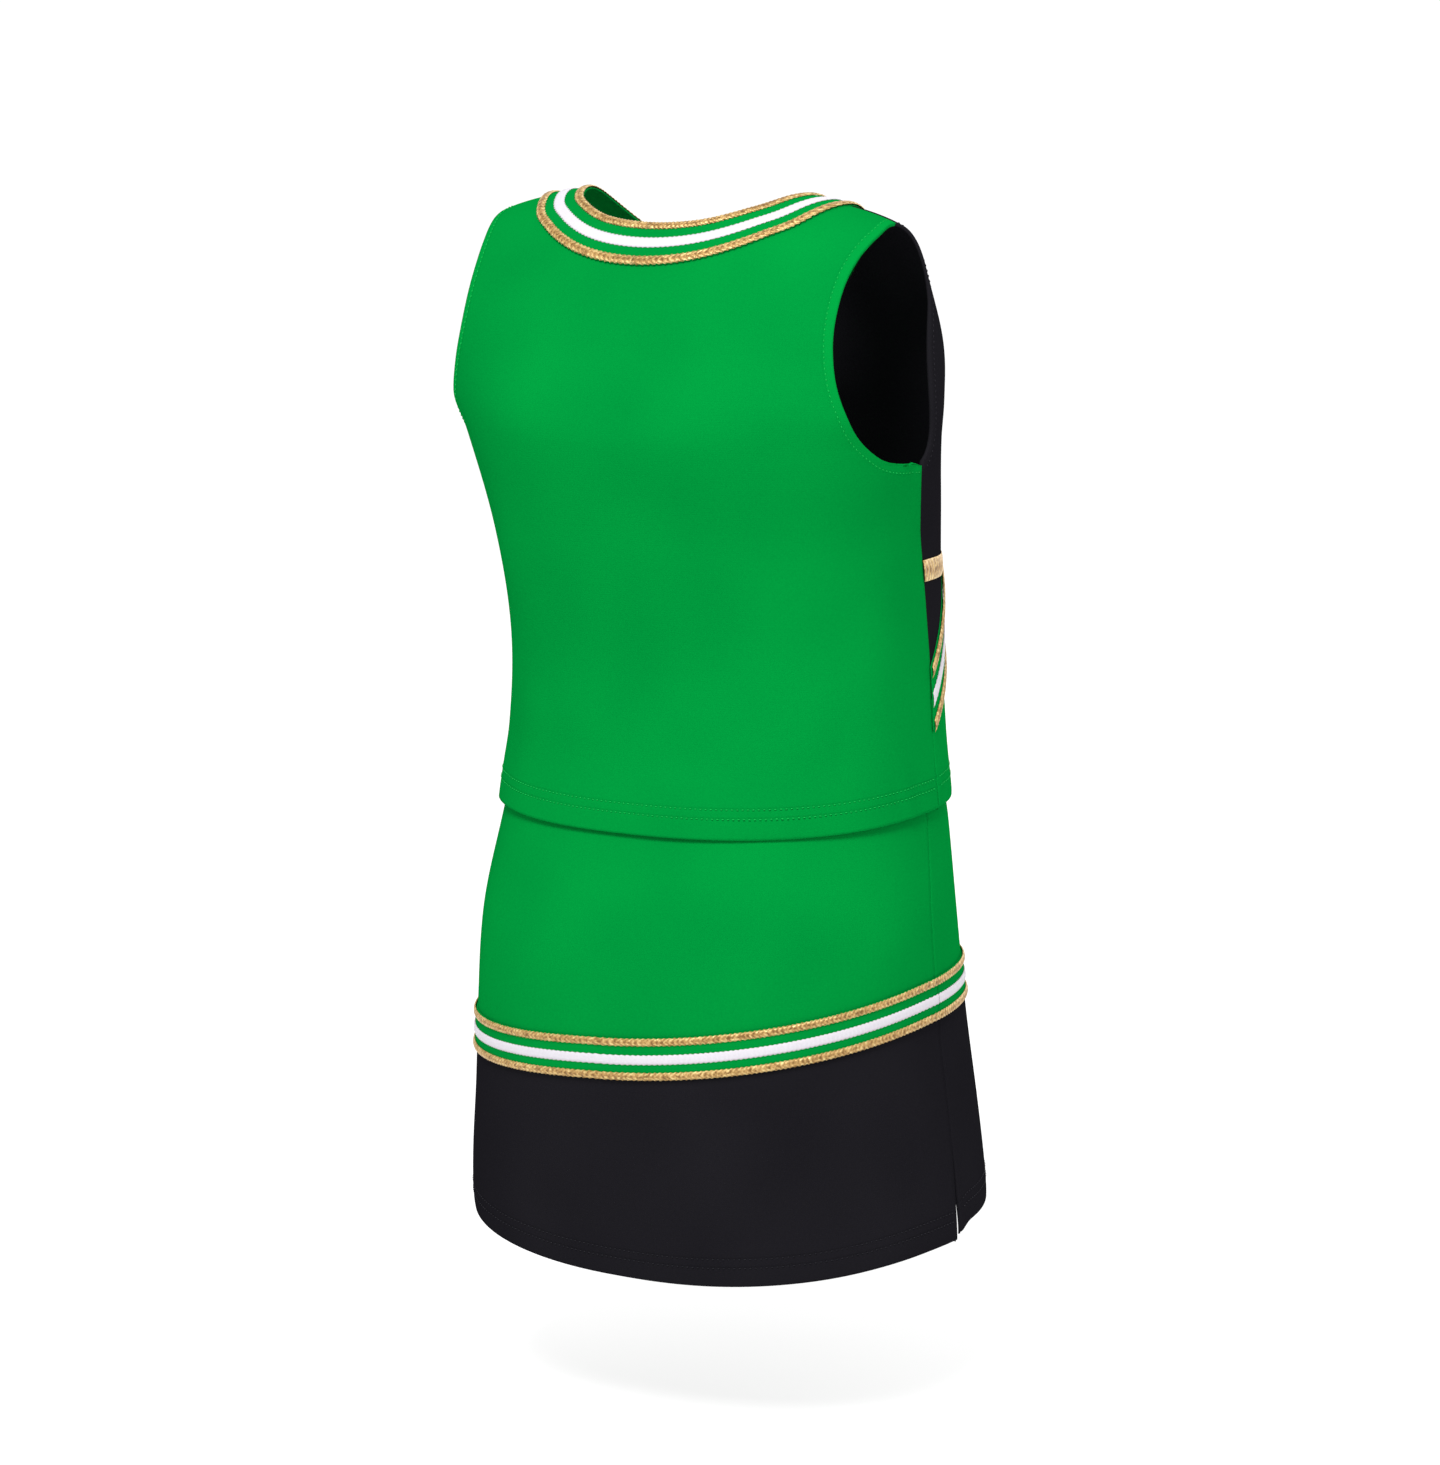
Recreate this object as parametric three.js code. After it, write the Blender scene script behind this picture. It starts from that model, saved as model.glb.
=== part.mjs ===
import * as THREE from "three";

// A girl's two-piece cheerleading uniform in knitted jersey: a sleeveless top with a striped neck band
// and a chevron band on its front, over a short straight skirt with a striped band round the hip, a
// black lower part and a slit at each side seam. It is filled out as if worn, and every piece is a thin
// wall. Each striped band carries gold braid along both edges and white braid down its middle.
//
// Millimetres. The origin lies midway between the neck ends of the two shoulder seams, where the wearer
// carries the top. +Z is up, -Y is the front and +X is the wearer's left.
//
// Places on the cloth are given as a turn and a drop. The turn is the angle round the body from centre
// back, in degrees: 90 is the wearer's left side, 180 centre front and 270 the right side. The drop is
// the way down the cloth from the shoulder line, or the depth below the origin on the skirt.

// ---- Cloth and trimmings ----
const CLOTH = 1.4; // wall of the doubled knit
const PARTING = 0.5; // between two pieces sewn edge to edge
const HALF_TURN = 0.1; // degrees from a side seam's line to the piece on either side, about half a parting
const BAND_STANDS = 0.7; // how far a striped band stands out from the panels beside it
const STRIPE = 0.8; // gold and white braid laid on a band
const STRIPE_PARTING = 0.3;
const GOLD_BAND_PARTING = 0.8; // between the gold braid at the sides and its panel
const ELASTIC = 2.0; // waistband

// ---- The filled-out body of each garment: half widths, depths from the middle, and squareness ----
const BACK_SQUARENESS = 2.3;
const TOP_SECTIONS = [
  { z: 0, backWidth: 141, frontWidth: 137.5, back: 66, front: 55.5, middle: -4, square: 2.3 },
  { z: -40, backWidth: 152, frontWidth: 134.7, back: 73, front: 64, middle: -5.5, square: 2.7 },
  { z: -78, backWidth: 152, frontWidth: 133.8, back: 81, front: 75, middle: -6.5, square: 3.1 },
  { z: -110, backWidth: 145, frontWidth: 135.3, back: 88, front: 87, middle: -5, square: 2.65 },
  { z: -132, backWidth: 133.8, frontWidth: 133.8, back: 93, front: 94, middle: -8, square: 2.3 },
  { z: -186, backWidth: 124.5, frontWidth: 124.5, back: 93.8, front: 93.8, middle: -22.5, square: 2.3 },
  { z: -240, backWidth: 120.3, frontWidth: 120.3, back: 93.5, front: 93.5, middle: -31.5, square: 2.3 },
  { z: -294, backWidth: 121.6, frontWidth: 121.6, back: 95.5, front: 94.8, middle: -34, square: 2.3 },
  { z: -320, backWidth: 124.6, frontWidth: 124.6, back: 98.2, front: 96.8, middle: -33.4, square: 2.3 },
  { z: -345, backWidth: 128.7, frontWidth: 128.7, back: 102.6, front: 98.6, middle: -32.8, square: 2.3 },
];
const SKIRT_SECTIONS = [
  { z: -235, backWidth: 117.7, frontWidth: 117.7, back: 90.8, front: 90.8, middle: -31.2, square: 2.3 },
  { z: -294, backWidth: 118.6, frontWidth: 118.6, back: 92.2, front: 91.8, middle: -34, square: 2.3 },
  { z: -320, backWidth: 120.7, frontWidth: 120.7, back: 94.2, front: 92.8, middle: -33.2, square: 2.3 },
  { z: -340, backWidth: 124.4, frontWidth: 124.4, back: 98, front: 94.5, middle: -32.2, square: 2.3 },
  { z: -391, backWidth: 129.3, frontWidth: 129.3, back: 115, front: 107, middle: -28, square: 2.3 },
  { z: -445, backWidth: 132.5, frontWidth: 132.5, back: 122.5, front: 113.5, middle: -30, square: 2.3 },
  { z: -499, backWidth: 137.5, frontWidth: 137.5, back: 121.5, front: 118, middle: -33.5, square: 2.3 },
  { z: -553, backWidth: 142.6, frontWidth: 142.6, back: 118.5, front: 121.5, middle: -35, square: 2.3 },
  { z: -585, backWidth: 143.8, frontWidth: 143.8, back: 115, front: 121.5, middle: -38, square: 2.3 },
];

// The shoulder line falls from the neck, droops to the tip, and the cloth rounds over it.
const SHOULDER = { crown: 1.3, fall: 0.00095, rounding: 80, tip: 122.5, droop: 2.6 };

// Largest soft folds: where each is centred, how long and wide it is, how far it stands out, and its lean
// in degrees of turn per millimetre of height.
const TOP_FOLDS = [
  { turn: 62, z: -318, length: 52, width: 11, depth: 1.6, lean: 0.1 },
  { turn: -38, z: -322, length: 44, width: 13, depth: 1.3, lean: -0.12 },
  { turn: -74, z: -250, length: 60, width: 9, depth: 1.1, lean: -0.05 },
  { turn: 80, z: -228, length: 66, width: 10, depth: 1.2, lean: 0.06 },
  { turn: 152, z: -300, length: 58, width: 12, depth: 1.4, lean: 0.09 },
  { turn: 214, z: -306, length: 50, width: 13, depth: 1.2, lean: -0.1 },
];
const SKIRT_FOLDS = [
  { turn: 66, z: -520, length: 60, width: 11, depth: 1.5, lean: 0.03 },
  { turn: -52, z: -536, length: 50, width: 12, depth: 1.2, lean: -0.04 },
  { turn: 138, z: -528, length: 56, width: 12, depth: 1.4, lean: 0.04 },
  { turn: 228, z: -532, length: 52, width: 12, depth: 1.3, lean: -0.03 },
];

// ---- Outlines of the top ----
// Armhole edges from the armpit up to the shoulder line.
const ARMPIT = -141.5;
const BACK_ARMHOLE = [
  { turn: 84.3, z: -140.9 },
  { turn: 75.5, z: -137.2 },
  { turn: 66, z: -126.4 },
  { turn: 58.5, z: -114.6 },
  { turn: 52.8, z: -100.6 },
  { turn: 49.3, z: -86.7 },
  { turn: 47.3, z: -71.5 },
  { turn: 46.8, z: -56 },
  { turn: 47.5, z: -42.5 },
  { turn: 49.5, z: -31.8 },
  { turn: 51.9, z: -24.6 },
  { turn: 54, z: -19.2 },
];
const FRONT_ARMHOLE = [
  { turn: 96, z: -136 },
  { turn: 98, z: -127 },
  { turn: 97, z: -114 },
  { turn: 95.3, z: -99 },
  { turn: 94.5, z: -84 },
  { turn: 96, z: -69 },
  { turn: 101, z: -54 },
  { turn: 106, z: -41 },
  { turn: 110, z: -29 },
];
// Neck band from centre back over the shoulder seam (the row at the shoulder line) to centre front.
const NECK = [
  { side: "back", innerX: 0, innerZ: -17.7, outerX: 0, outerZ: -38.7 },
  { side: "back", innerX: 18, innerZ: -16.9, outerX: 26, outerZ: -36.7 },
  { side: "back", innerX: 34, innerZ: -14.5, outerX: 49, outerZ: -31.2 },
  { side: "back", innerX: 49, innerZ: -10.1, outerX: 69, outerZ: -23.2 },
  { side: "back", innerX: 60, innerZ: -5.9, outerX: 84.5, outerZ: -14.9 },
  { side: "shoulder", innerX: 67.5, outerX: 95 },
  { side: "front", innerX: 69.5, innerZ: -8.5, outerX: 92, outerZ: -17 },
  { side: "front", innerX: 65, innerZ: -19, outerX: 82, outerZ: -31 },
  { side: "front", innerX: 54.5, innerZ: -31, outerX: 68, outerZ: -47 },
  { side: "front", innerX: 39.5, innerZ: -40.5, outerX: 49, outerZ: -61.5 },
  { side: "front", innerX: 20.5, innerZ: -46.5, outerX: 25.5, outerZ: -71.5 },
  { side: "front", innerX: 0, innerZ: -49, outerX: 0, outerZ: -75 },
];
// Shares of a striped band's width at which its gold, green, white, green and gold meet.
const STRIPES = [0, 0.18, 0.395, 0.625, 0.815, 1];
const TOP_SEAM = [
  { z: -140, turn: 92.4 },
  { z: -180, turn: 92.6 },
  { z: -215, turn: 95 },
  { z: -250, turn: 97 },
  { z: -340, turn: 97 },
];
const TOP_HEM = { atBack: -338.8, rise: 8 };

// Chevron band on the front, from each side seam up to its apex on centre front.
const CHEVRON = { seamZ: -272, apexZ: -118, width: 25 };
// Gold braid across each black side; it ends some degrees of turn short of the chevron band.
const GOLD_BAND = { topZ: -195.2, bottomZ: -207.2, short: 1.2 };

// ---- Outlines of the skirt ----
const WAIST = { top: -238, joint: -264 };
const SKIRT_SEAM_TURN = 92.3;
// The hip band lies in one slanting plane, lowest at the wearer's back left.
const HIP_BAND = { level: -443, slant: 17, lowestTurn: 42, width: 22.5 };
const SKIRT_HEM = { atBack: -577.5, lowestTurn: -8.5, backRise: 14.2, atFrontSeam: -557, frontRise: 9 };
const SLIT = { top: -510, halfGap: 0.35, opensOver: 50 };

// ---- Colours ----
const GREEN = { color: "#03a446", roughness: 0.75, metalness: 0 };
const BLACK = { color: "#1e1d22", roughness: 0.8, metalness: 0 };
const GOLD = { color: "#cfac72", roughness: 0.45, metalness: 0.4 };
const WHITE = { color: "#f4ebf5", roughness: 0.45, metalness: 0 };
const ELASTIC_BLACK = { color: "#202024", roughness: 0.9, metalness: 0 };

// ---- Reading the tables ----
const radians = THREE.MathUtils.degToRad;
const lerp = THREE.MathUtils.lerp;

// Smooth value of one column of a table at a height; past either end it keeps the end's value.
function readAt(table, z, column) {
  const last = table.length - 1;
  const row = (i) => table[THREE.MathUtils.clamp(i, 0, last)];
  const slope = (i) => (row(i + 1)[column] - row(i - 1)[column]) / (row(i + 1).z - row(i - 1).z);
  let i = 0;
  while (i < last - 1 && z < table[i + 1].z) i += 1;
  const from = table[i];
  const to = table[i + 1];
  const span = to.z - from.z;
  const u = THREE.MathUtils.clamp((z - from.z) / span, 0, 1);
  const bend = u * u * (3 - 2 * u);
  const lead = u * (1 - u) * (1 - u) * span * slope(i);
  const trail = u * u * (1 - u) * span * slope(i + 1);
  return lerp(from[column], to[column], bend) + lead - trail;
}

// ---- The two garments' surfaces ----
const TOP = { sections: TOP_SECTIONS, folds: TOP_FOLDS, overShoulder: true };
const SKIRT = { sections: SKIRT_SECTIONS, folds: SKIRT_FOLDS, overShoulder: false };

const shoulderLine = (x) =>
  SHOULDER.crown - SHOULDER.fall * x * x - SHOULDER.droop * (x / SHOULDER.tip) ** 8;
const ROUNDED_DROP = (SHOULDER.rounding * Math.PI) / 2;

// How far below the shoulder line a drop reaches, and how much of the full depth the cloth has there.
function fallOf(drop) {
  if (drop >= ROUNDED_DROP) return { below: SHOULDER.rounding + drop - ROUNDED_DROP, opened: 1 };
  const bend = drop / SHOULDER.rounding;
  return { below: SHOULDER.rounding * (1 - Math.cos(bend)), opened: Math.sin(bend) };
}

function section(body, z, isBack) {
  return {
    width: readAt(body.sections, z, isBack ? "backWidth" : "frontWidth"),
    depth: readAt(body.sections, z, isBack ? "back" : "front"),
    middle: readAt(body.sections, z, "middle"),
    square: isBack ? BACK_SQUARENESS : readAt(body.sections, z, "square"),
  };
}

// Half width of the section at a turn.
function reach(body, turn, z) {
  const { width, square } = section(body, z, Math.cos(radians(turn)) >= 0);
  return width * Math.pow(Math.abs(Math.sin(radians(turn))), 2 / square);
}

// The drop at which the cloth passes a height, at a turn.
function dropTo(body, turn, z) {
  if (!body.overShoulder) return -z;
  const below = Math.max(shoulderLine(reach(body, turn, z)) - z, 0);
  if (below >= SHOULDER.rounding) return ROUNDED_DROP + below - SHOULDER.rounding;
  return SHOULDER.rounding * Math.acos(1 - below / SHOULDER.rounding);
}

// The turn at which the cloth has a given x, at a height.
function turnTo(body, x, z, isBack) {
  const { width, square } = section(body, z, isBack);
  const angle = THREE.MathUtils.radToDeg(Math.asin(Math.pow(Math.abs(x) / width, square / 2)));
  return isBack ? angle : 180 - angle;
}

const SETTLING_ROUNDS = 6;

// The point of the smooth surface at a turn and a drop.
function surfacePoint(body, turn, drop) {
  const isBack = Math.cos(radians(turn)) >= 0;
  const fall = body.overShoulder ? fallOf(drop) : { below: drop, opened: 1 };
  let z = -fall.below;
  if (body.overShoulder) {
    for (let i = 0; i < SETTLING_ROUNDS; i += 1) z = shoulderLine(reach(body, turn, z)) - fall.below;
  }
  const { depth, middle, square } = section(body, z, isBack);
  const y = depth * Math.pow(Math.abs(Math.cos(radians(turn))), 2 / square) * fall.opened;
  const x = reach(body, turn, z) * Math.sign(Math.sin(radians(turn)));
  return new THREE.Vector3(x, middle + (isBack ? y : -y), z);
}

const NORMAL_STEP = 0.4; // degrees of turn, and millimetres of drop

function surfaceNormal(body, turn, drop) {
  const across = surfacePoint(body, turn + NORMAL_STEP, drop);
  across.sub(surfacePoint(body, turn - NORMAL_STEP, drop));
  const down = surfacePoint(body, turn, drop + NORMAL_STEP);
  down.sub(surfacePoint(body, turn, drop - NORMAL_STEP));
  return across.cross(down).normalize();
}

// How far the folds push the cloth out at a place.
function foldAt(body, turn, z) {
  let push = 0;
  for (const fold of body.folds) {
    const along = (z - fold.z) / fold.length;
    const centre = fold.turn + fold.lean * (z - fold.z);
    const away = ((((turn - centre) % 360) + 540) % 360) - 180;
    push += fold.depth * Math.exp(-along * along * 2 - (away / fold.width) ** 2);
  }
  return push;
}

// ---- Pieces of cloth as closed walls ----
const uniform = new THREE.Group();

// One wall between two lifts off the surface, through a grid of places; a ring's last column meets its
// first. Faces are turned outwards at the end.
function addPiece(name, finish, body, grid, lift, thickness, ring = false) {
  const rows = grid.length;
  const columns = grid[0].length;
  const positions = [];
  for (const level of [lift + thickness, lift]) {
    for (const row of grid) {
      for (const { turn, drop } of row) {
        const point = surfacePoint(body, turn, drop);
        const out = surfaceNormal(body, turn, drop);
        point.addScaledVector(out, level + foldAt(body, turn, point.z));
        positions.push(point.x, point.y, point.z);
      }
    }
  }
  const layer = rows * columns;
  const at = (r, c) => r * columns + (c % columns);
  const index = [];
  const quad = (a, b, c, d) => index.push(a, b, c, a, c, d);
  const steps = ring ? columns : columns - 1;
  for (let r = 0; r < rows - 1; r += 1) {
    for (let c = 0; c < steps; c += 1) {
      quad(at(r, c), at(r, c + 1), at(r + 1, c + 1), at(r + 1, c));
      quad(layer + at(r, c), layer + at(r + 1, c), layer + at(r + 1, c + 1), layer + at(r, c + 1));
    }
  }
  const edge = (a, b) => quad(b, a, layer + a, layer + b);
  for (let c = 0; c < steps; c += 1) {
    edge(at(0, c), at(0, c + 1));
    edge(at(rows - 1, c + 1), at(rows - 1, c));
  }
  for (let r = 0; r < rows - 1 && !ring; r += 1) {
    edge(at(r + 1, 0), at(r, 0));
    edge(at(r, columns - 1), at(r + 1, columns - 1));
  }
  if (enclosedVolume(positions, index) < 0) index.reverse();
  const geometry = new THREE.BufferGeometry();
  geometry.setAttribute("position", new THREE.Float32BufferAttribute(positions, 3));
  geometry.setIndex(index);
  geometry.computeVertexNormals();
  const mesh = new THREE.Mesh(geometry, new THREE.MeshStandardMaterial(finish));
  mesh.name = name;
  uniform.add(mesh);
}

function enclosedVolume(positions, index) {
  const corner = (i) => new THREE.Vector3().fromArray(positions, 3 * index[i]);
  let volume = 0;
  for (let i = 0; i < index.length; i += 3) {
    volume += corner(i).dot(corner(i + 1).cross(corner(i + 2))) / 6;
  }
  return volume;
}

// ---- Outlines and grids of places ----
// An outline is a function from 0 to 1 that gives a turn and a drop.
const place = (turn, drop) => ({ turn, drop });
const mirrored = (outline) => (u) => place(360 - outline(u).turn, outline(u).drop);
const mirroredBack = (outline) => (u) => place(-outline(u).turn, outline(u).drop);
const backwards = (outline) => (u) => outline(1 - u);

// Several outlines end to end, each with its share of the whole.
function joined(outlines, shares) {
  return (u) => {
    let i = 0;
    let start = 0;
    while (i < outlines.length - 1 && u > start + shares[i]) {
      start += shares[i];
      i += 1;
    }
    return outlines[i](THREE.MathUtils.clamp((u - start) / shares[i], 0, 1));
  };
}

// A panel's places, blended smoothly from its four edges; a side edge's own shape fades quickly inwards.
const SIDE_FADE = 3;
function panelGrid({ bottom, top, start, end, columns, rows }) {
  const grid = [];
  for (let r = 0; r <= rows; r += 1) {
    const t = r / rows;
    const row = [];
    for (let c = 0; c <= columns; c += 1) {
      const s = c / columns;
      const blend = (key) => {
        const upDown = (share) => lerp(bottom(share)[key], top(share)[key], t);
        const atStart = Math.pow(1 - s, SIDE_FADE) * (start(t)[key] - upDown(0));
        const atEnd = Math.pow(s, SIDE_FADE) * (end(t)[key] - upDown(1));
        return upDown(s) + atStart + atEnd;
      };
      row.push(place(blend("turn"), blend("drop")));
    }
    grid.push(row);
  }
  return grid;
}

// ---- Top: edges ----
const SHOULDER_DROP = PARTING; // each panel starts this far below the shoulder line
const NECK_SHOULDER_ROW = NECK.findIndex(({ side }) => side === "shoulder");

function clothDrop(x, z) {
  const below = shoulderLine(x) - z;
  return SHOULDER.rounding * Math.acos(1 - below / SHOULDER.rounding);
}

// A neck edge as a smooth curve of x and signed drop: positive at the back, negative at the front.
function neckCurve(edge) {
  const sign = { back: 1, shoulder: 0, front: -1 };
  const points = NECK.map((row) => {
    const x = row[`${edge}X`];
    const drop = row.side === "shoulder" ? 0 : sign[row.side] * clothDrop(x, row[`${edge}Z`]);
    return new THREE.Vector3(x, drop, 0);
  });
  const flipped = (p) => new THREE.Vector3(-p.x, p.y, 0);
  const loop = [...points, ...points.slice(1, -1).reverse().map(flipped)];
  return new THREE.CatmullRomCurve3(loop, true, "catmullrom", 0.5);
}

const NECK_INNER = neckCurve("inner");
const NECK_OUTER = neckCurve("outer");
const NECK_ROWS = 2 * (NECK.length - 1);

// The place on the neck band at a share of the loop from centre back, and a share of its width.
function neckPlace(along, across) {
  const inner = NECK_INNER.getPoint(along % 1);
  const outer = NECK_OUTER.getPoint(along % 1);
  const x = lerp(inner.x, outer.x, across);
  const signedDrop = lerp(inner.y, outer.y, across);
  const isBack = signedDrop >= 0;
  const drop = Math.abs(signedDrop);
  const turn = turnTo(TOP, x, shoulderLine(x) - fallOf(drop).below, isBack);
  return place(x >= 0 ? turn : 360 - turn, drop);
}

const NECK_SHOULDER = NECK_SHOULDER_ROW / NECK_ROWS;
const NECK_WIDTH = 27;
const BESIDE_NECK = 1 + PARTING / NECK_WIDTH; // share of the band's width at which the panels begin
const panelNeck = (from, to) => (u) => {
  const spot = neckPlace(lerp(from, to, u), BESIDE_NECK);
  return place(spot.turn, Math.max(spot.drop, SHOULDER_DROP));
};
const turnAtShoulder = (x, isBack) => turnTo(TOP, x, shoulderLine(x), isBack);
const NECK_X = lerp(NECK[NECK_SHOULDER_ROW].innerX, NECK[NECK_SHOULDER_ROW].outerX, BESIDE_NECK);

const shoulderSeam = (isBack) => (u) =>
  place(turnAtShoulder(lerp(SHOULDER.tip, NECK_X, u), isBack), SHOULDER_DROP);

// An armhole edge from the armpit up to the shoulder tip.
function armhole(rows, isBack) {
  const step = isBack ? -HALF_TURN : HALF_TURN;
  const pit = readAt(TOP_SEAM, ARMPIT, "turn") + step;
  const spots = [{ turn: pit, z: ARMPIT }, ...rows];
  const points = spots.map(({ turn, z }) => new THREE.Vector3(turn, dropTo(TOP, turn, z), 0));
  points.push(new THREE.Vector3(turnAtShoulder(SHOULDER.tip, isBack), SHOULDER_DROP, 0));
  const curve = new THREE.CatmullRomCurve3(points);
  return (u) => {
    const point = curve.getPointAt(u);
    return place(point.x, point.y);
  };
}

// A side seam between two heights, a little to the back (-1) or the front (+1) of its line.
const topSeam = (fromZ, toZ, side) => (u) => {
  const z = lerp(fromZ, toZ, u);
  const turn = readAt(TOP_SEAM, z, "turn") + side * HALF_TURN;
  return place(turn, dropTo(TOP, turn, z));
};
const topHemZ = (turn) => TOP_HEM.atBack + TOP_HEM.rise * (1 - Math.cos(radians(turn)));
const topHem = (fromTurn, toTurn) => (u) => {
  const turn = lerp(fromTurn, toTurn, u);
  return place(turn, dropTo(TOP, turn, topHemZ(turn)));
};
const SEAM_AT_HEM = TOP_SEAM[TOP_SEAM.length - 1].turn;
const SEAM_AT_CHEVRON = readAt(TOP_SEAM, CHEVRON.seamZ, "turn");
const hemAtSeam = topHemZ(SEAM_AT_HEM);

// ---- Top: back ----
const BACK_ROWS = { below: 10, above: 9 };
const SHOULDER_COLUMNS = 4;
const NECK_COLUMNS = 22;
const TOP_COLUMNS = NECK_COLUMNS + 2 * SHOULDER_COLUMNS;
const TOP_SHARES = [SHOULDER_COLUMNS, NECK_COLUMNS, SHOULDER_COLUMNS].map((n) => n / TOP_COLUMNS);
const sharesOf = ({ below, above }) => [below / (below + above), above / (below + above)];

const backEdge = joined(
  [topSeam(hemAtSeam, ARMPIT, -1), armhole(BACK_ARMHOLE, true)],
  sharesOf(BACK_ROWS),
);
// The back runs from the wearer's right to the left, so its turns are counted from below zero.
const backNeck = (u) => {
  const spot = panelNeck(1 - NECK_SHOULDER, 1 + NECK_SHOULDER)(u);
  return place(spot.turn > 180 ? spot.turn - 360 : spot.turn, spot.drop);
};
addPiece("top_back", GREEN, TOP, panelGrid({
  bottom: topHem(-SEAM_AT_HEM + HALF_TURN, SEAM_AT_HEM - HALF_TURN),
  top: joined([mirroredBack(shoulderSeam(true)), backNeck, backwards(shoulderSeam(true))], TOP_SHARES),
  start: mirroredBack(backEdge),
  end: backEdge,
  columns: TOP_COLUMNS,
  rows: BACK_ROWS.below + BACK_ROWS.above,
}), -CLOTH, CLOTH);

// ---- Top: front, black above the chevron band and green below it ----
const chevronZ = (turn) => {
  const fromFront = Math.abs(180 - turn) / (180 - SEAM_AT_CHEVRON);
  return lerp(CHEVRON.apexZ, CHEVRON.seamZ, fromFront);
};
const SLOPE_STEP = 1; // degrees of turn over which the chevron's slope is taken
function chevronHalfHeight(turn) {
  const towardsSide = turn < 180 ? -SLOPE_STEP : SLOPE_STEP;
  const spot = (t) => surfacePoint(TOP, t, dropTo(TOP, t, chevronZ(t)));
  const side = spot(turn + towardsSide).sub(spot(turn));
  const slope = side.z / Math.hypot(side.x, side.y);
  return (CHEVRON.width / 2) * Math.hypot(1, slope);
}
// A line along the chevron: -1 is its lower edge and 1 its upper one, with a shift up in millimetres.
const chevronLine = (share, shift = 0) => (u) => {
  const turn = lerp(SEAM_AT_CHEVRON + HALF_TURN, 360 - SEAM_AT_CHEVRON - HALF_TURN, u);
  return place(turn, dropTo(TOP, turn, chevronZ(turn) + share * chevronHalfHeight(turn) + shift));
};
const CHEVRON_START = SEAM_AT_CHEVRON + HALF_TURN;
const CHEVRON_START_HALF = chevronHalfHeight(CHEVRON_START);
const FRONT_ROWS = { below: 7, above: 9, lower: 12 };
const upperStart = chevronZ(CHEVRON_START) + CHEVRON_START_HALF + PARTING;
const upperEdge = joined(
  [topSeam(upperStart, ARMPIT, 1), armhole(FRONT_ARMHOLE, false)],
  sharesOf(FRONT_ROWS),
);
const frontNeck = panelNeck(NECK_SHOULDER, 1 - NECK_SHOULDER);
addPiece("top_front_upper", BLACK, TOP, panelGrid({
  bottom: chevronLine(1, PARTING),
  top: joined([shoulderSeam(false), frontNeck, backwards(mirrored(shoulderSeam(false)))], TOP_SHARES),
  start: upperEdge,
  end: mirrored(upperEdge),
  columns: TOP_COLUMNS,
  rows: FRONT_ROWS.below + FRONT_ROWS.above,
}), -CLOTH, CLOTH);

const lowerEdge = topSeam(hemAtSeam, chevronZ(CHEVRON_START) - CHEVRON_START_HALF - PARTING, 1);
addPiece("top_front_lower", GREEN, TOP, panelGrid({
  bottom: topHem(SEAM_AT_HEM + HALF_TURN, 360 - SEAM_AT_HEM - HALF_TURN),
  top: chevronLine(-1, -PARTING),
  start: lowerEdge,
  end: mirrored(lowerEdge),
  columns: TOP_COLUMNS,
  rows: FRONT_ROWS.lower,
}), -CLOTH, CLOTH);

// ---- Striped bands: green, with gold braid along both edges and white braid down the middle ----
const STRIPE_LIFT = BAND_STANDS + STRIPE_PARTING;

// The rows of places lie at the shares of STRIPES, so that each braid is made from the band's own places.
function addBand(prefix, body, rows, names, ring = false) {
  addPiece(`${prefix}_band`, GREEN, body, rows, BAND_STANDS - CLOTH, CLOTH, ring);
  addPiece(`${prefix}_${names[0]}`, GOLD, body, rows.slice(0, 2), STRIPE_LIFT, STRIPE, ring);
  addPiece(`${prefix}_white`, WHITE, body, rows.slice(2, 4), STRIPE_LIFT, STRIPE, ring);
  addPiece(`${prefix}_${names[1]}`, GOLD, body, rows.slice(4, 6), STRIPE_LIFT, STRIPE, ring);
}

// The neck band's columns stand on the columns of the two panels beside it.
const neckColumns = (from, to) =>
  Array.from({ length: NECK_COLUMNS }, (_, c) => lerp(from, to, c / NECK_COLUMNS));
const neckAlongs = [
  ...neckColumns(1 - NECK_SHOULDER, 1 + NECK_SHOULDER),
  ...neckColumns(1 + NECK_SHOULDER, 2 - NECK_SHOULDER),
];
const neckRows = STRIPES.map((share) => neckAlongs.map((along) => neckPlace(along, share)));
addBand("neck", TOP, neckRows, ["gold_inner", "gold_outer"], true);

const spread = (outline, columns) =>
  Array.from({ length: columns + 1 }, (_, c) => outline(c / columns));
const chevronRows = STRIPES.map((share) => spread(chevronLine(1 - 2 * share), TOP_COLUMNS));
addBand("chevron", TOP, chevronRows, ["gold_upper", "gold_lower"]);

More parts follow.
